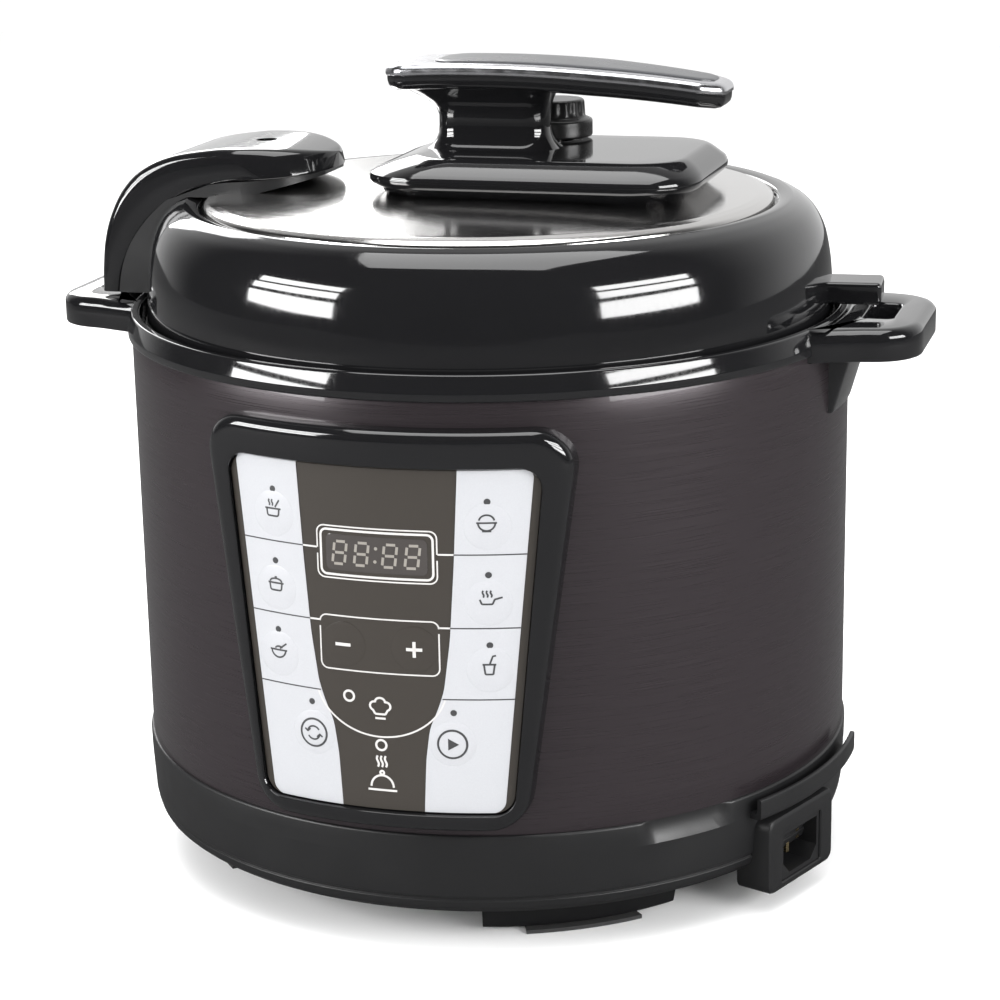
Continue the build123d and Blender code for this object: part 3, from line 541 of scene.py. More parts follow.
class COOKER_OT_collar(Operator):
    """Collar round the top of the shell: a turned gutter with a rounded lip"""

    bl_idname = "cooker.collar"
    bl_label = "Collar"

    def execute(self, context):
        section = closed_profile(
            [
                (114.7, 197), (139.1, 197), (139.1, 209), (141.5, 209), (141.5, 212), (139.9, 218.5),
                (136.6, 218.5), (136.6, 199.5), (114.7, 199.5),
            ],
            [0.4, 0.4, 0.1, 0.9, 2.4, 1.1, 1.1, 1.5, 0.4], steps=5, gap=6,
        )
        piece("collar", [turned(section)], gloss(), stands_for=["collar_ring"])
        return {"FINISHED"}


def handle_loop(side):
    """Slotted loop: one band of loops from the slot's edge, round the outside and back down the slot.

    Every loop has the same points in the same order, so the top is a ring of quads. Near the root, x follows
    the collar's circle."""
    top, bottom = high("right_handle")[2], high("right_handle")[2] - 12
    reach = high("right_handle")[0]
    plan = [(139.5, -44), (150, -38), (reach, -34), (reach, 34), (150, 38), (139.5, 44)]
    outer = evenly(rounded(plan, [0.5, 14, 19, 19, 14, 0.5], 8, closed=True), 160)
    slot_edge = evenly(box_outline(148.5, 159.5, -14.25, 14.25, 2.5), 160)
    slot_edge, outer = (lined_up(o, (154.0, 0)) for o in (slot_edge, outer))
    e = size("edge")
    rows = [
        (slot_edge, -e, bottom), (outer, 1.0, bottom), (outer, 0.3, bottom + 0.3), (outer, 0, bottom + 1.0),
        (outer, 0, top - 3.2), (outer, 0.25, top - 2.3), (outer, 0.9, top - 1.4), (outer, 1.9, top - 0.5),
        (outer, 3.0, top - 0.1), (outer, 4.2, top), (slot_edge, -1.6, top), (slot_edge, -0.7, top - 0.25),
        (slot_edge, -0.2, top - 0.75), (slot_edge, 0, top - 1.6), (slot_edge, 0, bottom + 1),
    ]
    loops = np.array([level(*row) for row in rows])
    hug = np.clip((150 - loops[..., 0]) / 10.5, 0, 1)
    loops[..., 0] += hug * (np.sqrt(139.3**2 - np.clip(loops[..., 1], -60, 60) ** 2) - 139.5)
    loops[..., 0] *= side
    return grid(loops, wrap_u=True, wrap_v=True)


def evenly(outline, count):
    """The same outline with count points evenly spaced along it, starting at its first point."""
    points, normals = outline
    closed_points = np.vstack([points, points[:1]])
    closed_normals = np.vstack([normals, normals[:1]])
    along = np.concatenate([[0], np.cumsum(np.linalg.norm(np.diff(closed_points, axis=0), axis=1))])
    at = np.linspace(0, along[-1], count, endpoint=False)
    pick = lambda values: np.stack([np.interp(at, along, values[:, k]) for k in range(2)], axis=1)
    new_normals = pick(closed_normals)
    return pick(closed_points), new_normals / np.linalg.norm(new_normals, axis=1)[:, None]


def lined_up(outline, centre):
    """Rolls an outline so that it starts straight out from the centre, on its lower first axis side."""
    away = outline[0] - np.asarray(centre, float)
    start = np.argmin(np.abs(np.arctan2(away[:, 1], away[:, 0]) + pi * 0.999))
    return tuple(np.roll(a, -start, axis=0) for a in outline)


def level(outline, inset, height):
    """One loop: the outline moved inwards by an inset, at a height."""
    points, normals = outline
    return np.column_stack([points - normals * inset, np.full(len(points), height)])


def handle_bracket(side):
    """Wedge under the loop: its section in the plane of the handle is carried across the handle's width."""
    bottom = high("right_handle")[2] - 12
    section = closed_profile(
        [(138.5, bottom + 1), (148.5, bottom + 1), (145, 196), (141.4, 183.5), (138.5, 183.5)],
        [0.2, 0.6, 6, 0.8, 0.2], steps=5, gap=4,
    )
    y = np.concatenate([[-24, -23.7, -23], np.linspace(-21, 21, 15), [23, 23.7, 24]])
    pull = np.concatenate([[1.0, 0.3, 0.0], np.zeros(15), [0.0, 0.3, 1.0]])
    out = np.clip(section[:, 0] - 140, 0, None)
    x = section[None, :, 0] - pull[:, None] * np.minimum(out, 1.0) + (np.sqrt(140**2 - y**2) - 140)[:, None]
    points = np.stack([side * x, np.broadcast_to(y[:, None], x.shape), np.broadcast_to(section[:, 1], x.shape)], axis=2)
    return grid(points, wrap_v=True, caps=True)


class COOKER_OT_handles(Operator):
    """Two side handles: a flat slotted loop on a curved bracket"""

    bl_idname = "cooker.handles"
    bl_label = "Side handles"

    def execute(self, context):
        for name, side in (("left_handle", -1), ("right_handle", 1)):
            loop, bracket = handle_loop(side), handle_bracket(side)
            piece(name + "_moulding", [loop, bracket], gloss(), stands_for=[name], crease=40)
        return {"FINISHED"}


# ---------------------------------------------------------------- base
def upright_frame(outer, inner, angle, layers):
    """Rectangular collar that stands out from the body: loops of equal points through the given layers.

    Each layer is (which outline, inset, distance from the axis)."""
    loops = [level((outer, inner)[which], inset, out) for which, inset, out in layers]
    return grid(facing(np.array(loops), angle), wrap_u=True, wrap_v=True)


class COOKER_OT_base(Operator):
    """Base: turned skirt with its rim line, feet, drip guard over the inlet and the inlet's boss"""

    bl_idname = "cooker.base"
    bl_label = "Base"

    def execute(self, context):
        section = closed_profile(
            [
                (136.4, 53), (139.0, 53), (139.1, 49), (141, 49), (140.8, 40), (140.0, 24.7), (139.1, 24.3),
                (139.1, 23.4), (139.7, 23.0), (138.8, 19.9), (136.2, 17.6), (127, 15.2), (117, 12.6), (104, 6.2),
                (98, 6),
                (98, 8.5), (107.2, 8.8), (117, 14.6), (128, 17.4), (134, 20.2), (136.4, 26),
            ],
            [0.3, 0.3, 0.2, 1.0, 6, 0.5, 0.2, 0.2, 0.5, 2, 3, 6, 4, 3, 0.6, 0.6, 1, 3, 3, 3, 3], steps=4, gap=5,
        )
        wall, faces = turned(section, segments=360)
        wall = self.notched(wall)
        pads = [
            turned(closed_profile([(104, 1.5), (115.4, 1.5), (118.6, 14), (104, 14)], [1.2, 1.6, 0.2, 0.2], 4),
                a - 19, 38)
            for a in (32, 122, 212, 302)
        ]
        guard = closed_profile(
            [(138.5, 39.6), (146.4, 39.6), (146.4, 48), (144.4, 48), (144.4, 42), (138.5, 42)],
            [0.2, 1.6, 0.7, 0.7, 0.9, 0.2], 4, gap=3,
        )
        pads.append(turned(guard, 58, 33))
        outer = evenly(box_outline(-23, 23, 8, 38, 4), 120)
        inlet = low("power_inlet")[2] - 0.2, high("power_inlet")[2] + 0.2
        inner = evenly(box_outline(-13.9, 13.9, inlet[0], inlet[1], 0.8), 120)
        outer, inner = (lined_up(o, (0, 23.0)) for o in (outer, inner))
        front = 145.5
        boss = upright_frame(
            outer, inner, 68.6,
            [
                (0, 0, 131), (0, 0, front - 1.6), (0, 0.35, front - 0.6), (0, 1.2, front - 0.1), (0, 2, front),
                (1, -1.6, front), (1, -0.4, front - 0.1), (1, 0, front - 0.6), (1, 0, 131),
            ],
        )
        piece("base_skirt", [(wall, faces), *pads, boss], satin(), stands_for=["base_ring"])
        return {"FINISHED"}

    def notched(self, points):
        """Presses a shallow pocket into the rim: the radius is held to 138.4 between two angles and heights."""
        angle = np.degrees(np.arctan2(points[:, 0], -points[:, 1]))
        radius = np.hypot(points[:, 0], points[:, 1])
        inside = smooth((angle - 38.6) / 0.8) * smooth((53.4 - angle) / 0.8) * smooth((points[:, 2] - 41.6) / 0.8)
        target = np.where(radius > 138.4, radius + (138.4 - radius) * inside, radius)
        out = points.copy()
        out[:, :2] *= (target / radius)[:, None]
        return out


# ---------------------------------------------------------------- front panel
def film_place(points):
    """Puts (x, z, height over the film) rows on the panel's film."""
    lifted = points.copy()
    lifted[..., 2] += FACE_R
    return upright(lifted)


def upright(points):
    """Puts (x, z, distance from the axis) rows on the body's front: y = -sqrt(distance^2 - x^2)."""
    x, z, r = points[..., 0], points[..., 1], points[..., 2]
    return np.stack([x, -np.sqrt(r * r - x * x), z], axis=-1)


class COOKER_OT_bezel(Operator):
    """Gloss bezel: a rounded trapezoid bent round the body, with a pocket for the film"""

    bl_idname = "cooker.bezel"
    bl_label = "Panel bezel"

    def execute(self, context):
        outer = corner_matched([(-50.5, 53), (50.5, 53), (69.5, 200), (-69.5, 200)], 14)
        inner = corner_matched([(-47, 59.5), (47, 59.5), (58.5, 187), (-58.5, 187)], 7.5)
        r = PANEL_R
        rows = [
            (outer, 0, SHELL_R - 0.3), (outer, 0, r - 3.6), (outer, 0.12, r - 2.6), (outer, 0.6, r - 1.5),
            (outer, 1.5, r - 0.6), (outer, 2.8, r - 0.12), (outer, 4.2, r),
        ]
        loops = [level(*row) for row in rows]
        land, edge = loops[-1], level(inner, -0.9, r)
        loops += [land * (1 - t) + edge * t for t in (0.25, 0.5, 0.75, 1)]
        loops += [level(inner, inset, out) for inset, out in ((-0.3, r - 0.1), (0, r - 0.5), (0, FACE_R - 1.2))]
        piece(
            "panel_bezel_moulding", [self.closed_sheet(loops)], gloss(), stands_for=["panel_bezel"],
            crease=40,
        )
        film_edge = corner_matched([(-46.5, 60), (46.5, 60), (58, 186.5), (-58, 186.5)], 7)
        loops = [level(film_edge, inset, FACE_R + out) for inset, out in ((0, -2), (0, -0.25), (0.2, 0))]
        piece("film", [self.closed_sheet(loops)], film(), stands_for=["panel_face"])
        return {"FINISHED"}

    def closed_sheet(self, loops):
        """Closes the first and last loop towards the middle line, then bends all of them round the body."""
        shares = (0.7, 0.4, 0.15, 0)
        behind, before = narrowed(loops[0], shares[::-1], 0), narrowed(loops[-1], shares, 0)
        return grid(upright(np.array(behind + loops + before)), wrap_v=True)


def corner_matched(corners, radius):
    """Rounded outline whose sides all have the same number of points, so two of them match point for point."""
    steps, parts = 10, 16
    points, normals = rounded(corners, radius, steps, closed=True)
    out, out_normals = [], []
    count = len(corners)
    for i in range(count):
        a = (steps + 1) * i
        arc = slice(a, a + steps + 1)
        last, following = a + steps, (a + steps + 1) % len(points)
        t = np.linspace(0, 1, parts + 1)[1:-1, None]
        out += [points[arc], points[last] * (1 - t) + points[following] * t]
        out_normals += [normals[arc], normals[last] * (1 - t) + normals[following] * t]
    return np.vstack(out), np.vstack(out_normals)


def stroke(path, width, place=film_place, closed=False, lift=None, sink=0.12):
    """A printed line: a flat bar's section carried along a path of (x, z) points."""
    path = divided(np.asarray(path, float), np.asarray(path, float), 1.2, closed)[0]
    if closed:
        ahead, behind = np.roll(path, -1, axis=0), np.roll(path, 1, axis=0)
    else:
        ahead, behind = np.vstack([path[1:], path[-1:]]), np.vstack([path[:1], path[:-1]])
    way = ahead - behind
    way /= np.linalg.norm(way, axis=1)[:, None]
    normal = np.stack([way[:, 1], -way[:, 0]], axis=1)
    lift = size("ink") if lift is None else lift
    half = width / 2
    section = [(-half, -sink), (half, -sink), (half, lift), (-half, lift)]
    rows = np.stack([np.column_stack([path + normal * s, np.full(len(path), h)]) for s, h in section], axis=1)
    return grid(place(rows), wrap_u=closed, wrap_v=True, caps=not closed)


def filled(left, right, place=film_place, lift=None, across=8, sink=0.12):
    """A printed area between two edges with as many points each."""
    lift = size("ink") if lift is None else lift
    left, right = np.asarray(left, float), np.asarray(right, float)
    t = np.linspace(0, 1, across + 1)[None, :, None]
    top = left[:, None] * (1 - t) + right[:, None] * t
    front = np.concatenate([top, np.full(top.shape[:2] + (1,), lift)], axis=2)
    back = front[:, ::-1].copy()
    back[..., 2] = -sink
    return grid(place(np.concatenate([front, back], axis=1)), wrap_v=True, caps=True)


def dot(x, z, radius, place=film_place, lift=None, count=32, sink=0.12):
    """A printed disc."""
    lift = size("ink") if lift is None else lift
    return grid(place(centred(disc_outline(x, z, radius, count), [(0, -sink), (0, lift)], (x, z))), wrap_v=True)


def ring(x, z, radius, width, place=film_place, lift=None):
    """A printed ring."""
    return stroke(arc(x, z, radius, radius, 0, 360)[:-1], width, place, closed=True, lift=lift)


def arc(x, z, rx, rz, start, end, count=None):
    """Points on an ellipse, angles in degrees from +x towards +z."""
    count = count or max(5, int(abs(end - start) / 8)) + 1
    a = np.radians(np.linspace(start, end, count))
    return np.stack([x + rx * np.cos(a), z + rz * np.sin(a)], axis=1)


def smooth_line(points, radius=1.0, closed=False, gap=4.0):
    """Polyline with rounded corners."""
    return rounded(points, radius, 5, closed=closed, gap=gap)[0]


def steam(x, z, height, count=3, pitch=1.5, sway=0.35):
    """Wavy steam lines side by side: x moves with the sine of the height."""
    t = np.linspace(0, 1, 13)
    return [
        np.stack([x + (k - (count - 1) / 2) * pitch + sway * np.sin(t * 2 * pi), z + t * height], axis=1)
        for k in range(count)
    ]


STRIP_Z = np.array([187.0, 152.5, 125.0, 106.0, 99.0, 92.0, 80.0, 60.3])
STRIP_IN = np.array([29.5, 27.7, 25.8, 23.3, 21.0, 18.0, 16.4, 15.4])


def strip_inner(z):
    """Inner edge of a key strip: half the dark band's width at a height, through points with smooth joins."""
    order = np.argsort(STRIP_Z)
    zs, xs = STRIP_Z[order], STRIP_IN[order]
    fine = np.linspace(zs[0], zs[-1], 200)
    values = np.interp(fine, zs, xs)
    kernel = np.hanning(15)
    padded = np.concatenate([np.full(7, values[0]), values, np.full(7, values[-1])])
    eased = np.convolve(padded, kernel / kernel.sum(), mode="valid")
    return np.interp(z, fine, eased)


def strip_outer(z):
    """Outer edge of a key strip: parallel to the film's edge, rounded off at the top and bottom corners."""
    edge = 46.5 + (z - 60) / 126.5 * 11.5 - 3.0
    low_corner = np.clip((64.3 - z) / 4.2, 0, 1)
    high_corner = np.clip((z - 183.3) / 3.2, 0, 1)
    return edge - 4.2 * (1 - np.sqrt(1 - low_corner**2)) - 3.0 * (1 - np.sqrt(1 - high_corner**2))


class COOKER_OT_print(Operator):
    """The panel's print: light key strips, thin lines, frames, lamps and pictograms"""

    bl_idname = "cooker.print"
    bl_label = "Panel print"

    def execute(self, context):
        z = np.concatenate([np.linspace(60.2, 64.5, 12), np.linspace(66, 182, 60), np.linspace(183, 186.4, 9)])
        strips, dark, light = [], [], []
        line, bold = size("line"), size("bolder")
        for side in (-1, 1):
            inner = np.stack([side * strip_inner(z), z], axis=1)
            outer = np.stack([side * strip_outer(z), z], axis=1)
            strips.append(filled(inner, outer, lift=0.04))
            for x, height in ((39.4, 175.3), (39.4, 148.9), (39.4, 123.2), (26.5, 98.0)):
                dark.append(dot(side * x, height, 1.15, lift=0.09))
            for height in (156.2, 129.4):
                ends = np.linspace(strip_inner(height) - 0.2, strip_outer(height), 9)
                dark.append(stroke(np.stack([side * ends, np.full(9, height)], axis=1), 0.45, lift=0.09))
                run = np.linspace(strip_inner(height) + 0.1, 22.2, 5)
                light.append(stroke(np.stack([side * run, np.full(5, height)], axis=1), line))
            height = 103.0
            ends = np.linspace(strip_outer(height), strip_inner(height) + 0.4, 9)
            dark.append(stroke(np.stack([side * ends, np.full(9, height)], axis=1), 0.45, lift=0.09))
        # the arc that joins the two lower separators under the plus and minus keys
        swing = arc(0, 108, 24.5, 20.4, 194, 346, 40)
        light.append(stroke(swing, line))
        for low_z, high_z, gap_z in ((145.5, 164.5, 156.2), (111.6, 131.6, 129.4)):
            for side in (-1, 1):
                upper = [(side * 22, gap_z), (side * 22, high_z), (0, high_z)]
                lower = [(side * 22, gap_z - 2.2), (side * 22, low_z), (0, low_z)]
                light.append(stroke(smooth_line(upper, 2.6), 0.5))
                light.append(stroke(smooth_line(lower, 2.6), 0.5))
        frame_line = box_outline(-20.6, 20.6, 146.8, 163.2, 2.2, gap=4)[0]
        light.append(stroke(frame_line, 0.8, closed=True))
        light += [ring(-11.7, 102, 1.9, 0.8), ring(0, 84.5, 1.9, 0.8)]
        light += [stroke(path, bold) for path in self.hat() + self.cloche()]
        piece("key_strips", strips, strip_film())
        piece("dark_print", dark, ink())
        piece("light_print", light, white_ink())
        return {"FINISHED"}

    def hat(self):
        """Cook's hat: three round puffs over a band."""
        return [
            np.vstack([
                [(-1.9, 96.2)], arc(-2.2, 99.2, 1.6, 1.6, 250, 75), arc(0, 100.6, 1.9, 1.7, 165, 15),
                arc(2.2, 99.2, 1.6, 1.6, 105, -70), [(1.9, 96.2)],
            ]),
            np.array([(-1.9, 96.2), (1.9, 96.2)]),
            np.array([(-1.9, 94.6), (1.9, 94.6)]),
        ]

    def cloche(self):
        """Serving cover on its plate, with a knob and steam."""
        return [
            arc(0, 68.6, 4.2, 4.4, 180, 0), np.array([(-5.4, 67.4), (5.4, 67.4)]), arc(0, 74.0, 0.7, 0.7, 0, 360),
            *steam(0, 76.2, 4.2),
        ]


KEYS = [
    (f"{'left' if side < 0 else 'right'}_key_{row}", side * x, z, side, row)
    for row, (x, z) in enumerate(((39.3, 166.3), (39.3, 138.8), (39.3, 114.1), (26.0, 86.4)), start=1)
    for side in (-1, 1)
]
KEY_R = 8.4


def key_signs(side, row):
    """Pictogram of a key, as lines round the key's own centre."""
    pot = [smooth_line([(-2.6, 0.8), (-2.3, -1.9), (2.3, -1.9), (2.6, 0.8)], 0.8), np.array([(-3.3, 0.8), (3.3, 0.8)])]
    bowl = [arc(0, 0.4, 3.0, 2.8, 180, 360), np.array([(-3.6, 0.4), (3.6, 0.4)])]
    if row == 4:
        if side < 0:
            return [
                arc(0, 0, 2.5, 2.5, 30, 165), arc(0, 0, 2.5, 2.5, 210, 345),
                np.array([(-3.5, 1.3), (-2.45, 0.3), (-1.3, 1.5)]), np.array([(3.5, -1.3), (2.45, -0.3), (1.3, -1.5)]),
            ]
        return []
    return {
        (-1, 1): pot + [np.array([(1.0, 1.4), (2.6, 4.0)])] + steam(-0.9, 1.8, 2.2, 2, 1.3, 0.25),
        (-1, 2): pot + [arc(0, 1.2, 2.5, 1.2, 180, 0), np.array([(-0.5, 2.9), (0.5, 2.9)])],
        (-1, 3): bowl + [np.array([(0.6, 1.0), (3.4, 3.0)]), arc(0.2, 0.9, 1.5, 0.8, 180, 20)],
        (1, 1): bowl + [arc(0, 0.9, 2.7, 2.3, 170, 10), np.array([(-1.6, -2.6), (1.6, -2.6)])],
        (1, 2): [smooth_line([(-2.9, 0.2), (-2.2, -1.5), (1.6, -1.5), (2.3, 0.2)], 0.6),
         np.array([(2.2, 0.2), (5.0, 0.9)])]
        + steam(-0.3, 1.0, 2.4, 3, 1.4, 0.25),
        (1, 3): [smooth_line([(-1.9, 1.0), (-1.4, -2.6), (1.4, -2.6), (1.9, 1.0)], 0.4),
         np.array([(-2.4, 1.0), (2.4, 1.0)]),
                 np.array([(0.2, 1.2), (1.2, 4.0), (2.3, 4.2)])],
    }[(side, row)]


class COOKER_OT_keys(Operator):
    """Ten keys: low domes embossed in the film, each with its pictogram"""

    bl_idname = "cooker.keys"
    bl_label = "Keys"

    def execute(self, context):
        for name, x, z, side, row in KEYS:
            place = self.on_key(x, z, size("key_dome"))
            self.cap(name, place, strip_film())
            marks = [stroke(path + np.array([0, 1.2 if row < 4 else 0]), 0.62, place, lift=0.13)
                     for path in key_signs(side, row)]
            if row == 4:
                marks.append(ring(0, 0, 5.2, 0.75, place, lift=0.13))
            if (side, row) == (1, 4):
                left = np.array([(-1.5, -2.2), (-1.5, 2.2)])
                marks.append(filled(left, np.array([(2.3, -0.05), (2.3, 0.05)]), place, across=4, lift=0.13))
            piece(f"{name}_sign", marks, ink(), body=name)
        for name, x, plus in (("minus_key", -13.2, False), ("plus_key", 13.2, True)):
            place = self.on_key(x, 121.2, 0.35)
            self.cap(name, place, film())
            bars = [stroke(np.array([(-2.9, 0), (2.9, 0)]), 1.15, place, lift=0.13)]
            if plus:
                bars.append(stroke(np.array([(0, -2.9), (0, 2.9)]), 1.15, place, lift=0.13))
            piece(f"{name}_sign", bars, white_ink(), body=name)
        return {"FINISHED"}

    def on_key(self, x, z, dome):
        """Puts rows round a key's centre on its dome: height = dome * (1 - (r / R)^2) over the film."""
        squeeze = cos(asin(x / FACE_R))

        def place(points):
            r2 = (points[..., 0] ** 2 + points[..., 1] ** 2) / KEY_R**2
            shifted = points.copy()
            shifted[..., 0] = x + points[..., 0] * squeeze
            shifted[..., 1] = z + points[..., 1]
            shifted[..., 2] += dome * (1 - r2)
            return film_place(shifted)

        return place

    def cap(self, name, place, material):
        """A key's cap: rings of a disc, drawn in to the middle on both sides."""
        circle = disc_outline(0, 0, KEY_R, 64)[0]
        rings = [(share, -1.4) for share in (0, 0.5, 1)] + [(1, 0.02)]
        rings += [(share, 0.06) for share in (0.96, 0.9, 0.8, 0.65, 0.45, 0.22, 0)]
        loops = np.array([np.column_stack([circle * share, np.full(64, height)]) for share, height in rings])
        piece(f"{name}_cap", [grid(place(loops), wrap_v=True)], material, body=name, stands_for=[name])


class COOKER_OT_display(Operator):
    """Display: dark glass with four unlit seven-segment digits and a colon"""

    bl_idname = "cooker.display"
    bl_label = "Display"

    def execute(self, context):
        glass, shader = node_material("display_glass_dark", tone("glass"), 0.12, coat=0.5)
        cloud = noise(glass, 60, 2)
        glass.node_tree.links.new(
            between(glass, cloud, tinted(tone("glass"), 0.85), tinted(tone("glass"), 1.15)), shader.inputs["Base Color"]
        )
        glass.node_tree.links.new(spread(glass, noise(glass, 500, 3), 0.09, 0.16), shader.inputs["Roughness"])
        edge = corner_matched([(-18.6, 148.4), (18.6, 148.4), (18.6, 161.6), (-18.6, 161.6)], 2)
        loops = [level(edge, inset, out) for inset, out in ((0, -1.5), (0, 0.02), (0.2, 0.09))]
        shares = (0.75, 0.4, 0)
        rows = narrowed(loops[0], shares[::-1], 0) + loops + narrowed(loops[-1], shares, 0)
        piece(
            "display_pane", [grid(film_place(np.array(rows)), wrap_v=True)], glass, stands_for=["display_window"],
        )
        lamps = []
        for x in (-13.4, -5.2, 5.2, 13.4):
            lamps += self.digit(x, 155.0)
        lamps += [dot(0.2, 157.4, 0.6, lift=0.14), dot(-0.2, 152.6, 0.6, lift=0.14)]
        lit = made(printed_film, "unlit_segments", tone("digits"), 0.4)
        piece("display_digits", lamps, lit)
        return {"FINISHED"}

    def digit(self, x, z):
        """Seven bars of a figure eight, leaning to the right: x moves by an eighth of the height."""
        w, h, lean = 2.3, 4.1, 0.13
        bars = [((-w, h), (w, h)), ((-w, 0), (w, 0)), ((-w, -h), (w, -h))]
        bars += [((s * w, 0), (s * w, t * h)) for s in (-1, 1) for t in (-1, 1)]
        out = []
        for a, b in bars:
            a, b = np.array(a), np.array(b)
            way = (b - a) / np.linalg.norm(b - a)
            points = np.stack([a + way * 0.65, (a + b) / 2, b - way * 0.65])
            points[:, 0] += points[:, 1] * lean
            out.append(stroke(points + np.array([x, z]), 0.95, lift=0.14))
        return out


# ---------------------------------------------------------------- lid
def eased_curve(points, count):
    """Smooth curve through points: a Catmull-Rom spline, sampled evenly in its own parameter."""
    p = np.asarray(points, float)
    p = np.vstack([2 * p[0] - p[1], p, 2 * p[-1] - p[-2]])
    t = np.linspace(0, len(p) - 3, count)
    i = np.minimum(t.astype(int), len(p) - 4)
    u = (t - i)[:, None]
    a, b, c, d = p[i], p[i + 1], p[i + 2], p[i + 3]
    return 0.5 * (2 * b + (c - a) * u + (2 * a - 5 * b + 4 * c - d) * u**2 + (3 * b - a - 3 * c + d) * u**3)


class COOKER_OT_lid(Operator):
    """Lid: a turned gloss ring with a swept shoulder, and a domed steel disc with a rolled rim"""

    bl_idname = "cooker.lid"
    bl_label = "Lid"

    def execute(self, context):
        outside = eased_curve(
            [(133.6, 218), (133.2, 227), (132.3, 236), (130.2, 245.5), (126.3, 252.6), (121.8, 256.4),
             (117.3, 258.4)], 40
        )
        lower = profile([(131.3, 220), (131.3, 211), (134.2, 211), (133.6, 218)], [0, 0.9, 0.9, 0], 4)
        roll = profile([(117.3, 258.4), (112.4, 257.4), (112.0, 254.6), (100, 254.6), (100, 252.4)],
            [0, 1.2, 0.3, 0.6, 0], 5)
        inside = eased_curve([(100, 252.4), (114, 252.2), (122.4, 249.0), (126.5, 244), (129, 234), (129.8, 223)], 24)
        ledge = profile([(129.8, 223), (118, 223), (118, 220.4), (131.3, 220.4)], [0, 0.4, 0.4, 0], 3)
        section = np.vstack([lower, outside[1:], roll[1:], inside[1:], ledge[1:-1]])
        piece("lid_shoulder", [turned(section, segments=384)], gloss(), "lid", ["lid_ring"], crease=50)
        dome = np.linspace(0.3, 103.0, 30)
        top = np.stack([dome, 263.0 - 3.0 * (dome / 106.0) ** 2], axis=1)
        rim = profile([(103.0, 260.17), (105.2, 260.0), (108.0, 259.3), (110.3, 258.0), (111.0, 255.0), (110.0, 254.8)],
                      [0, 3, 4, 2.0, 0.4, 0], 5)
        under = np.stack([np.linspace(109.6, 0.3, 20), 0 * np.linspace(0, 1, 20)], axis=1)
        under[:, 1] = np.where(under[:, 0] > 105, 255.8 + (109.6 - under[:, 0]) * 0.68,
            262.0 - 3.0 * (under[:, 0] / 106.0) ** 2)
        section = np.vstack([top, rim[1:], under])
        section[0, 0] = section[-1, 0] = 0
        piece("lid_plate", [turned(section, segments=384)], steel(), "lid", ["lid_disc"], crease=50)
        return {"FINISHED"}


def lofted(levels, rings=5):
    """Closed solid through rounded rectangles: each level is (centre x, centre y, width, depth, radius, height).

    Every rectangle has the same number of points, starting at the same corner, so a level's point joins the
    same point of the next one."""
    loops = []
    for x, y, width, depth, radius, height in levels:
        corners = [(x - width / 2, y - depth / 2), (x + width / 2, y - depth / 2),
                   (x + width / 2, y + depth / 2), (x - width / 2, y + depth / 2)]
        points, _ = corner_matched(corners, radius)
        loops.append(np.column_stack([points, np.full(len(points), height)]))

    def closing(loop, centre):
        middle = np.array([centre[0], centre[1], 0])
        return [middle + (loop - middle) * np.array([k, k, 1]) for k in np.linspace(1, 0, rings + 1)[1:]]

    under, over = closing(loops[0], levels[0][:2]), closing(loops[-1], levels[-1][:2])
    return np.array(under[::-1] + loops + over)


class COOKER_OT_block(Operator):
    """Handle block: a low moulding with a swept top edge, whose underside follows the lid's dome"""

    bl_idname = "cooker.block"
    bl_label = "Handle block"

    def execute(self, context):
        x, y, top = 24.5, 2.5, BLOCK_TOP
        points = lofted([
            (x, y, 111, 77, 20, 255.0), (x, y, 113, 79, 20, 259.5), (x, y, 119, 84.5, 21.5, 263),
            (x, y, 125.5, 91, 23, 265.8),
            (x, y, 128.4, 93.4, 24, 267.2), (x, y, 129, 94, 24, 268.3), (x, y, 129, 94, 24, 269.4),
            (x, y, 128.3, 93.3, 23.8, 270.5), (x + 0.9, y + 0.1, 125.2, 90.5, 23, 271.8),
            (x + 3, y + 0.2, 116, 83, 21.5, 274.2),
            (x + 4.6, y + 0.4, 109.0, 78.3, 19.6, 275.6), (x + 5.4, y + 0.5, 105, 75.5, 18.6, 276.25),
            (x + 6, y + 0.5, 101.5, 73, 18, top - 0.05), (x + 6, y + 0.5, 99, 71, 17.5, top),
        ])
        # the underside rests on the lid
        dome = 263.0 - 3.0 * (points[..., 0] ** 2 + points[..., 1] ** 2) / 106.0**2
        points[..., 2] = np.maximum(points[..., 2], np.minimum(dome, 266.0) - 0.4)
        block = piece("handle_block_moulding", [grid(points, wrap_v=True)], gloss(), "lid", ["handle_block"])
        holes = []
        for hx, hy, radius, z0, z1 in ((20, 30, 4.0, 250, 290), (56, -6, 3.6, 250, 273)):
            loops = centred(disc_outline(hx, hy, radius, 48), [(0, z0), (0, z1)], (hx, hy), rings=1)
            holes.append(grid(loops, wrap_v=True))
        bored(block, holes)
        return {"FINISHED"}


BAR = (-37.0, 95.0, 2.0)


def bar_top(x):
    """Height of the grip's top over the lid: the circle through its two ends and its highest point."""
    ends = np.array([[BAR[0], 309.2], [20.0, 310.0], [BAR[1], 303.0]])
    (x1, y1), (x2, y2), (x3, y3) = ends
    d = 2 * (x1 * (y2 - y3) + x2 * (y3 - y1) + x3 * (y1 - y2))
    s1, s2, s3 = (ends**2).sum(axis=1)
    cx = (s1 * (y2 - y3) + s2 * (y3 - y1) + s3 * (y1 - y2)) / d
    cy = (s1 * (x3 - x2) + s2 * (x1 - x3) + s3 * (x2 - x1)) / d
    radius = np.hypot(x1 - cx, y1 - cy)
    return cy + np.sqrt(radius**2 - (x - cx) ** 2)


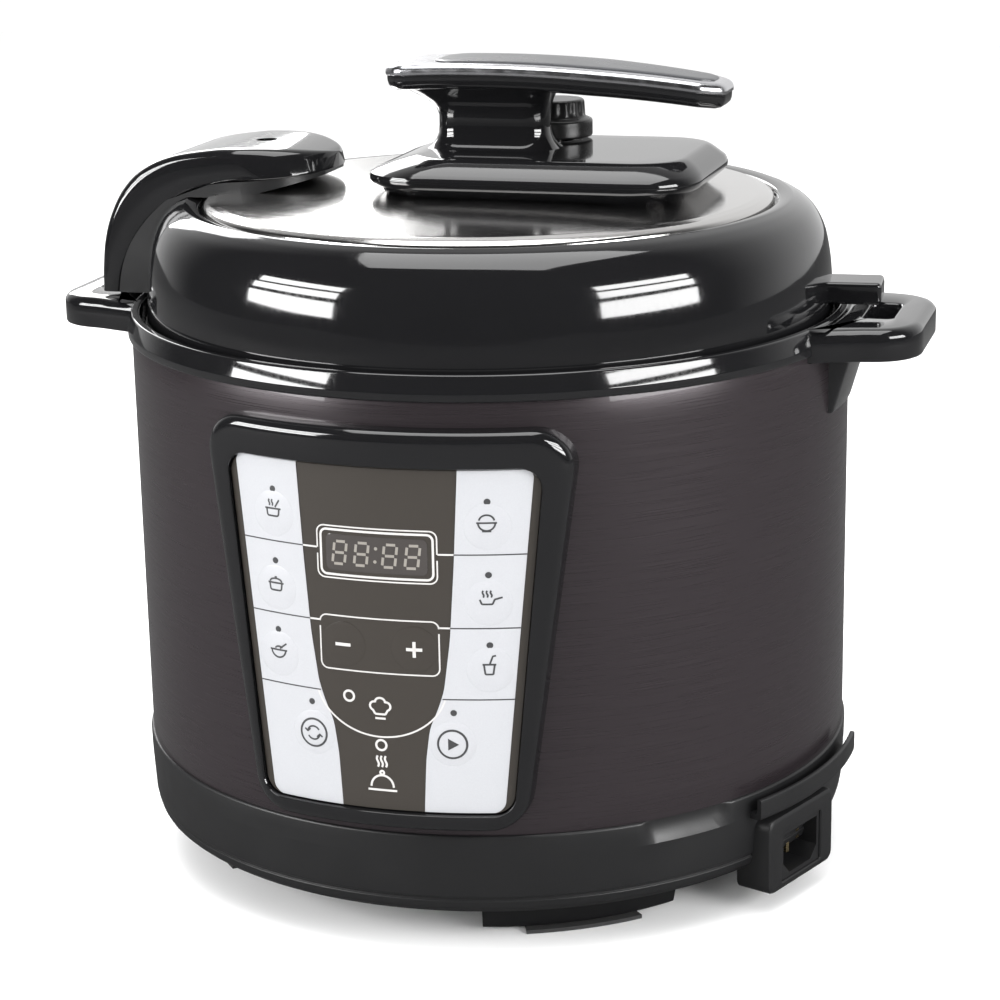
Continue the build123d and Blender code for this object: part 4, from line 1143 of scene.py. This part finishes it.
def bar_plan():
    """Outline of the bar from above: broad over the stem, narrowing to the right."""
    left, right, y = BAR
    half = [(left, -14), (left + 6, -20), (45, -20), (right - 9, -15), (right, -9)]
    half = [(x, y + dy) for x, dy in half]
    other = [(x, 2 * y - yy) for x, yy in half[::-1]]
    return rounded(half + other, [5, 7, 60, 7, 6, 6, 7, 60, 7, 5], 7, closed=True, gap=3.0)


def on_bar(points):
    """Hangs (x, y, height) rows from the bar's top curve: height counts from the curve."""
    out = points.copy()
    out[..., 2] = bar_top(points[..., 0]) + points[..., 2]
    return out


class COOKER_OT_grip(Operator):
    """Grip: stem that flares into a curved bar, silver trim round the bar and a grey strip on top"""

    bl_idname = "cooker.grip"
    bl_label = "Grip"

    def execute(self, context):
        plan, y = bar_plan(), BAR[2]
        bar = stacked(
            plan, [(6.5, -10.0), (4.2, -9.9), (2.4, -9.2), (1.2, -7.9), (0.7, -6.4), (0.6, -5), (0.6, -4.0)],
            axis_y=y, rings=4
        )
        stem = lofted([
            (2.5, 3, 53, 27, 11.5, 276.2), (2.5, 3, 50.5, 24.6, 11, 277.2), (2.5, 3, 46.8, 21.4, 10, 279.4),
            (2.5, 3, 44.6, 19.5, 9.3, 282), (2.5, 3, 44, 19, 9, 285), (2.5, 3, 44, 19, 9, 289),
            (2.1, 3, 45.2, 20, 9.2, 292), (0.9, 2.8, 49, 23, 9.8, 295), (-1, 2.4, 55, 28, 11, 298),
            (-3, 2, 61, 33, 12, 300.6), (-3, 2, 61, 33, 12, 302),
        ])
        away = stem[..., :2] - np.array([20, 30])
        far = np.linalg.norm(away, axis=-1)
        push = np.where((far < 15.2) & (stem[..., 2] < 297.1), 15.2 / np.maximum(far, 1e-6), 1.0)
        stem[..., :2] = np.array([20, 30]) + away * push[..., None]
        piece(
            "grip_moulding", [grid(on_bar(bar), wrap_v=True), grid(stem, wrap_v=True)], gloss(), "lid", ["grip"],
            crease=45,
        )
        # the trim is a band with a shallow crown; the strip stands a little over it
        trim = stacked(
            plan, [(0.6, -4.2), (0.1, -3.8), (0, -3.2), (0, -2.2), (0.35, -1.3), (1.2, -0.55), (2.4, -0.12),
                (3.8, 0.0)],
            axis_y=y, rings=5,
        )
        piece("grip_trim_band", [grid(on_bar(trim), wrap_v=True)], plating(), "lid", ["grip_trim"])
        left, right = BAR[0] + 18, BAR[1] - 5
        half = [(left, y - 8), (left + 6, y - 14), (45, y - 14), (right - 4, y - 9), (right, y - 5)]
        strip = rounded(half + [(x, 2 * y - v) for x, v in half[::-1]], [6, 8, 60, 5, 4, 4, 5, 60, 8, 6], 7,
            closed=True, gap=3)
        layers = [(0, -1.6), (0, 0.1), (0.12, 0.4), (0.5, 0.62), (1.2, 0.74), (2.4, 0.8)]
        inlay = made(satin_plastic, "grip_inlay_grey", tone("inlay"), 0.28, 1100, 0.00002)
        piece("grip_strip", [grid(on_bar(stacked(strip, layers, axis_y=y)), wrap_v=True)], inlay, "lid", ["grip_inlay"])
        return {"FINISHED"}


class COOKER_OT_arm(Operator):
    """Arm over the left of the lid: rounded sections carried along its curve, up to a round end with a screw hole and
    its seat
    """

    bl_idname = "cooker.arm"
    bl_label = "Lid arm"

    def execute(self, context):
        count = 72
        over = eased_curve(
            [(-152.4, 220), (-152.0, 231), (-150.6, 241), (-147.6, 250.5), (-142.0, 260.5), (-133.5, 268.6),
             (-121, 274.2),
             (-104, 277.0), (-94, 277.5), (-84, 277.5), (-74, 276.7), (-64.5, 275.0), (-61.0, 273.8)], count,
        )
        under = eased_curve(
            [(-144.5, 220), (-143.2, 228), (-139.5, 237), (-133, 246.8), (-124, 255), (-112, 261.4), (-98, 264.8),
             (-88, 265.6), (-79, 266.2), (-70, 266.9), (-63, 267.5), (-61.0, 267.8)], count,
        )
        reach = (over[:, 0] + under[:, 0]) / 2
        wide = np.where(reach < -91, 30.0, np.sqrt(np.clip(30.0**2 - (reach + 91) ** 2, 0.01, None)))
        section, shape = self.section(wide, np.linalg.norm(over - under, axis=1))
        along = under[:, None] * (1 - shape[..., None]) + over[:, None] * shape[..., None]
        points = np.stack([along[..., 0], section, along[..., 1]], axis=-1)
        arm = piece("arm_moulding", [grid(points, wrap_v=True, caps=True)], gloss(), "lid", ["arm_cover"],
                    crease=42)
        hole = centred(disc_outline(-91, 0, 4.2, 48), [(0, 268), (0, 285)], (-91, 0), rings=1)
        bored(arm, [grid(hole, wrap_v=True)])
        dish = turned(closed_profile([(4.1, 275.4), (8.4, 276.2), (8.9, 277.1), (7.9, 277.35), (4.1, 276.4)], 0.3, 3),
            segments=96)
        collar = (dish[0] + np.array([-91, 0, -0.55]), dish[1])
        piece("arm_screw_seat", [collar], gloss(), "lid")
        return {"FINISHED"}

    def section(self, half_width, thickness):
        """Rounded rectangle per station: widths in millimetres and depth from 0 below to 1 above."""
        edge = np.minimum(np.minimum(4.0, thickness * 0.42), half_width * 0.6)
        a = np.radians(np.linspace(0, 90, 7))
        flat = np.linspace(-1, 1, 17)
        low_edge = np.minimum(1.2, edge)
        w, t = half_width[:, None], thickness[:, None]
        e, le = edge[:, None], low_edge[:, None]
        right_low = (w - le + le * np.sin(a)[None], le - le * np.cos(a)[None])
        right_high = (w - e + e * np.cos(a)[None], t - e + e * np.sin(a)[None])
        top = ((w - e) * -flat[None, 1:-1], np.broadcast_to(t, (len(w), 15)))
        left_high = (-(w - e) - e * np.sin(a)[None], t - e + e * np.cos(a)[None])
        left_low = (-(w - le) - le * np.cos(a)[None], le - le * np.sin(a)[None])
        bottom = ((w - le) * flat[None, 1:-1], np.zeros((len(w), 15)))
        parts = (right_low, right_high, top, left_high, left_low, bottom)
        return np.hstack([p[0] for p in parts]), np.hstack([p[1] for p in parts]) / t


class COOKER_OT_tab(Operator):
    """Tab over the right handle: a short square tongue with rounded edges"""

    bl_idname = "cooker.tab"
    bl_label = "Lid tab"

    def execute(self, context):
        loops = []
        for out, inset in ((130.5, 0), (151.4, 0), (152.2, 0.25), (152.8, 0.9), (153, 1.7)):
            points, _ = corner_matched([(-9.5 + inset, 220 + inset), (9.5 - inset, 220 + inset),
                                        (9.5 - inset, 228.4 - inset), (-9.5 + inset, 228.4 - inset)], 1.4)
            loops.append(np.column_stack([points, np.full(len(points), out)]))
        for side, at in ((0, 0), (-1, -1)):
            middle = np.array([0, 224.2, 0])
            drawn = [middle + (loops[at] - middle) * np.array([k, k, 1]) for k in (0.5, 0)]
            loops = drawn[::-1] + loops if side == 0 else loops + drawn
        piece("tab_moulding", [grid(facing(np.array(loops), 94.0), wrap_v=True)], gloss(), "lid", ["lid_tab"])
        return {"FINISHED"}


class COOKER_OT_valve(Operator):
    """Pressure valve: a fluted knob on its weight, whose radius follows the cosine of the angle"""

    bl_idname = "cooker.valve"
    bl_label = "Pressure valve"

    def execute(self, context):
        section = closed_profile(
            [(6.4, 277.4), (14, 277.4), (14, 284.0), (11.2, 285.2), (10.8, 292), (0.2, 292.0), (0.2, 289.4),
             (6.4, 289.4)],
            [0.4, 0.9, 1.2, 1.0, 1.4, 0, 0, 0.3], steps=5, gap=1.5,
        )
        count = 192
        angle = np.linspace(0, 2 * pi, count, endpoint=False)[:, None]
        r, z = section[None, :, 0], section[None, :, 1]
        flute = 1 - (
            0.055 * (0.5 + 0.5 * np.cos(angle * 16))
            * smooth((r - 9.6) / 0.8) * smooth((z - 285.4) / 1.2) * smooth((291.6 - z) / 1.0)
        )
        radius = np.where(r < 0.25, 0, r * flute)
        points = np.stack([20 + radius * np.sin(angle), 30 - radius * np.cos(angle),
            np.broadcast_to(z, radius.shape)], axis=2)
        knob = made(satin_plastic, "valve_black", (0.012, 0.012, 0.012), 0.3, 1300, 0.00002)
        piece("pressure_knob_moulding", [grid(points, wrap_u=True, wrap_v=True)], knob, "pressure_knob",
            ["pressure_knob"])
        return {"FINISHED"}


# ---------------------------------------------------------------- inner pot and cup
class COOKER_OT_pots(Operator):
    """Inner pot, as turned sheet"""

    bl_idname = "cooker.pots"
    bl_label = "Pots and seal"

    def execute(self, context):
        bowl = closed_profile(
            [(0.2, 62), (111.6, 62), (111.6, 208.5), (119, 208.5), (119, 210), (110, 210), (110, 63.6), (0.2, 63.6)],
            [0, 13.6, 0.6, 0.7, 0.7, 1.6, 12, 0], steps=8, gap=12,
        )
        bowl[bowl[:, 0] < 0.25, 0] = 0
        coating = made(satin_plastic, "pot_coating_grey", (0.035, 0.035, 0.037), 0.34, 900, 0.00002)
        piece("inner_pot_bowl", [turned(bowl)], coating, "inner_pot", ["inner_pot"])
        return {"FINISHED"}


class COOKER_OT_cup(Operator):
    """Condensate cup at the back: a curved box with rounded corners, open at the top"""

    bl_idname = "cooker.cup"
    bl_label = "Condensate cup"

    def execute(self, context):
        r0, r1, z0, z1 = 140.6, 152.5, 166.0, 204.0
        rows = [
            (0, 3.0, z0), (0, 1.0, z0 + 0.4), (0, 0.3, z0 + 1.2), (0, 0, z0 + 2.4), (0, 0, z1 - 0.8),
            (0, 0.25, z1 - 0.2),
            (0, 0.7, z1), (1, -0.2, z1), (1, 0, z1 - 0.3), (1, 0, z0 + 3.2), (1, 0.6, z0 + 2.0), (1, 1.4, z0 + 1.5),
        ]
        outer = evenly(box_outline(-39.5, 39.5, r0, r1, 3.0), 200)
        inner = evenly(box_outline(-38, 38, r0 + 4.4, r1 - 1.5, 1.8), 200)
        outer, inner = (lined_up(o, (0, 147.0)) for o in (outer, inner))
        points = np.array([level((outer, inner)[which], inset, z) for which, inset, z in rows])
        middle = (points[..., 1].max() + points[..., 1].min()) / 2
        points = np.vstack([narrowed(points[:1], [0], 1, middle)[0], points, narrowed(points[-1:], [0], 1, middle)[0]])
        angle = pi + points[..., 0] / 146.0
        bent = np.stack([np.sin(angle) * points[..., 1], -np.cos(angle) * points[..., 1], points[..., 2]], axis=-1)
        clear = made(satin_plastic, "cup_plastic", (0.02, 0.02, 0.021), 0.22, 700, 0.00001)
        piece("cup_moulding", [grid(bent, wrap_v=True)], clear, "condensate_cup", ["condensate_cup"])
        return {"FINISHED"}


# ---------------------------------------------------------------- CAD nodes that stay
class COOKER_OT_inner_finishes(Operator):
    """Procedural finishes for the CAD nodes that stay as they are"""

    bl_idname = "cooker.inner_finishes"
    bl_label = "Inner finishes"

    def execute(self, context):
        sheet_steel = lambda: made(brushed_metal, "pressed_steel", (0.55, 0.55, 0.56), 0.3, (1, 1, 20), 80)
        zinc = lambda: made(brushed_metal, "zinc_steel", (0.5, 0.5, 0.48), 0.38, (2, 2, 8), 120)
        brass = lambda: made(brushed_metal, "contact_brass_pins", (0.62, 0.5, 0.28), 0.25, (1, 1, 12), 200)
        spring = lambda: made(brushed_metal, "spring_wire", (0.42, 0.42, 0.43), 0.3, (4, 4, 4), 200)
        heater = lambda: made(brushed_metal, "cast_heater", (0.45, 0.45, 0.45), 0.42, (3, 3, 3), 160)
        silicone = lambda: made(soft_rubber, "clear_silicone", (0.55, 0.55, 0.53), 0.45)
        rubber = lambda: made(soft_rubber, "foot_rubber_grey", (0.03, 0.03, 0.03), 0.75)
        board = lambda: made(printed_film, "board_lacquer", (0.02, 0.09, 0.04), 0.35)
        wool = lambda: made(soft_rubber, "insulation_felt", (0.6, 0.58, 0.52), 0.9)
        coating = lambda: made(satin_plastic, "pot_coating_grey", (0.035, 0.035, 0.037), 0.34, 900, 0.00002)
        finishes = {
            "shell_steel": dark_steel, "gloss_black": gloss, "satin_black": satin, "bright_steel": sheet_steel,
            "zinc_steel": zinc, "chrome_trim": plating, "inlay_grey": satin, "key_white": strip_film,
            "panel_film": film, "display_glass": film, "pot_coating": coating, "silicone": silicone,
            "foot_rubber": rubber, "board_green": board, "heater_alloy": heater, "contact_brass": brass,
            "insulation": wool, "spring_steel": spring,
        }
        for name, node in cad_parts.items():
            if node.hide_render:
                continue
            for place in node.material_slots:
                old = place.material.name if place.material else ""
                match = [key for key in finishes if old.startswith(key)]
                place.material = finishes[match[0]]() if match else satin()
        return {"FINISHED"}


# ---------------------------------------------------------------- stage
def soft_light(name, place, target, width, height, power):
    """Area light at a place, turned to a target."""
    light = bpy.data.lights.new(name, "AREA")
    light.shape, light.size, light.size_y, light.energy = "RECTANGLE", width, height, power
    holder = bpy.data.objects.new(name, light)
    bpy.context.collection.objects.link(holder)
    way = np.array(target, float) - np.array(place, float)
    way /= np.linalg.norm(way)
    side = np.cross(way, (0, 0, 1))
    side /= np.linalg.norm(side)
    up = np.cross(side, way)
    holder.matrix_world = Matrix([
        (side[0], up[0], -way[0], place[0]), (side[1], up[1], -way[1], place[1]), (side[2], up[2], -way[2], place[2]),
        (0, 0, 0, 1),
    ])


class COOKER_OT_stage(Operator):
    """Stage: pale flat floor, soft lights and the camera"""

    bl_idname = "cooker.stage"
    bl_label = "Stage"

    def execute(self, context):
        reach = 3.0
        t = np.linspace(-1, 1, 41)
        x, y = np.meshgrid(t * reach, t * reach, indexing="ij")
        points = np.stack([x, y, np.zeros_like(x)], axis=2)
        vertices, faces = grid(points)
        mesh = bpy.data.meshes.new("floor")
        mesh.from_pydata(vertices.tolist(), [], faces)
        ground = bpy.data.objects.new("floor", mesh)
        context.collection.objects.link(ground)
        paper, shader = node_material("floor_paper", tone("floor"), 0.55, specular=0.2)
        paper.node_tree.links.new(
            between(paper, noise(paper, 3, 2), tinted(tone("floor"), 0.985), tone("floor")), shader.inputs["Base Color"]
        )
        # gloss sees the floor as a dimmer room, as on a small table in a dark studio
        nodes, link = paper.node_tree.nodes, paper.node_tree.links.new
        dim = nodes.new("ShaderNodeBsdfDiffuse")
        rays = nodes.new("ShaderNodeLightPath")
        both = nodes.new("ShaderNodeMixShader")
        dim.inputs["Color"].default_value = (0.1, 0.1, 0.1, 1)
        link(rays.outputs["Is Glossy Ray"], both.inputs["Fac"])
        link(shader.outputs["BSDF"], both.inputs[1])
        link(dim.outputs["BSDF"], both.inputs[2])
        link(both.outputs["Shader"], nodes["Material Output"].inputs["Surface"])
        mesh.materials.append(paper)
        context.scene.world = self.studio()
        context.scene.view_settings.view_transform = "Standard"
        middle = (0, 0, 0.16)
        for k in (-1, 0, 1):
            soft_light(f"window_left_{k + 1}", (-1.15 + 0.02 * k, -1.0, 0.62 + 0.23 * k), middle, 0.9, 0.16, 9)
            soft_light(f"window_right_{k + 1}", (1.35, -0.55, 0.62 + 0.23 * k), middle, 0.9, 0.16, 8)
        soft_light("overhead", (0.0, -0.1, 1.7), (0, 0, 0.2), 1.3, 1.3, 22)
        soft_light("back_left", (-0.9, 1.3, 0.9), middle, 0.8, 0.8, 12)
        lens = bpy.data.cameras.new("camera")
        lens.lens, lens.sensor_width = 95.1, 36
        lens.clip_start, lens.clip_end = 0.02, 20
        eye = bpy.data.objects.new("camera", lens)
        context.collection.objects.link(eye)
        right, up, forward = (0.9602, 0.2786, -0.0177), (-0.0593, 0.2654, 0.9623), (-0.2728, 0.9230, -0.2714)
        place = np.array([291.5, -977.8, 422.4]) * MM
        eye.matrix_world = Matrix([
            (right[i], up[i], -forward[i], place[i]) for i in range(3)
        ] + [(0, 0, 0, 1)])
        context.scene.camera = eye
        return {"FINISHED"}

    def studio(self):
        """White surroundings that gloss sees as a dark room with a bright wall behind the object."""
        world = bpy.data.worlds.new("studio")
        world.use_nodes = True
        nodes, link = world.node_tree.nodes, world.node_tree.links.new
        shade = nodes["Background"]
        rays = nodes.new("ShaderNodeLightPath")
        place = nodes.new("ShaderNodeTexCoord")
        split = nodes.new("ShaderNodeSeparateXYZ")
        link(place.outputs["Generated"], split.inputs["Vector"])
        room = nodes.new("ShaderNodeMapRange")
        room.interpolation_type = "SMOOTHSTEP"
        room.inputs["From Min"].default_value, room.inputs["From Max"].default_value = 0.1, 0.85
        room.inputs["To Min"].default_value, room.inputs["To Max"].default_value = 0.02, 0.9
        link(split.outputs["Y"], room.inputs["Value"])
        seen = nodes.new("ShaderNodeMix")
        link(rays.outputs["Is Glossy Ray"], seen.inputs["Factor"])
        seen.inputs["A"].default_value = 1.1
        link(room.outputs["Result"], seen.inputs["B"])
        link(seen.outputs["Result"], shade.inputs["Strength"])
        shade.inputs["Color"].default_value = (1, 1, 1, 1)
        return world


class COOKER_PT_pieces(Panel):
    """Lists the cooker's pieces, its colours and its sizes"""

    bl_idname = "COOKER_PT_pieces"
    bl_label = "Pressure cooker"
    bl_space_type = "VIEW_3D"
    bl_region_type = "UI"
    bl_category = "Cooker"

    def draw(self, context):
        for step in STEPS:
            self.layout.operator(step.bl_idname)
        for group in (context.scene.cooker_colours, context.scene.cooker_sizes):
            for name in group.bl_rna.properties.keys():
                if name not in ("rna_type", "name"):
                    self.layout.prop(group, name)


STEPS = (
    COOKER_OT_stage, COOKER_OT_shell, COOKER_OT_collar, COOKER_OT_handles, COOKER_OT_base, COOKER_OT_bezel,
    COOKER_OT_print, COOKER_OT_display, COOKER_OT_keys, COOKER_OT_lid, COOKER_OT_block, COOKER_OT_grip, COOKER_OT_arm,
    COOKER_OT_tab, COOKER_OT_valve, COOKER_OT_pots, COOKER_OT_cup, COOKER_OT_inner_finishes,
)
CLASSES = (CookerColours, CookerSizes, *STEPS, COOKER_PT_pieces)


def register():
    for cls in CLASSES:
        bpy.utils.register_class(cls)
    bpy.types.Scene.cooker_colours = PointerProperty(type=CookerColours)
    bpy.types.Scene.cooker_sizes = PointerProperty(type=CookerSizes)


def unregister():
    del bpy.types.Scene.cooker_sizes
    del bpy.types.Scene.cooker_colours
    for cls in reversed(CLASSES):
        bpy.utils.unregister_class(cls)


def main():
    register()
    for step in STEPS:
        group, name = step.bl_idname.split(".")
        getattr(getattr(bpy.ops, group), name)()


if __name__ == "__main__":
    main()
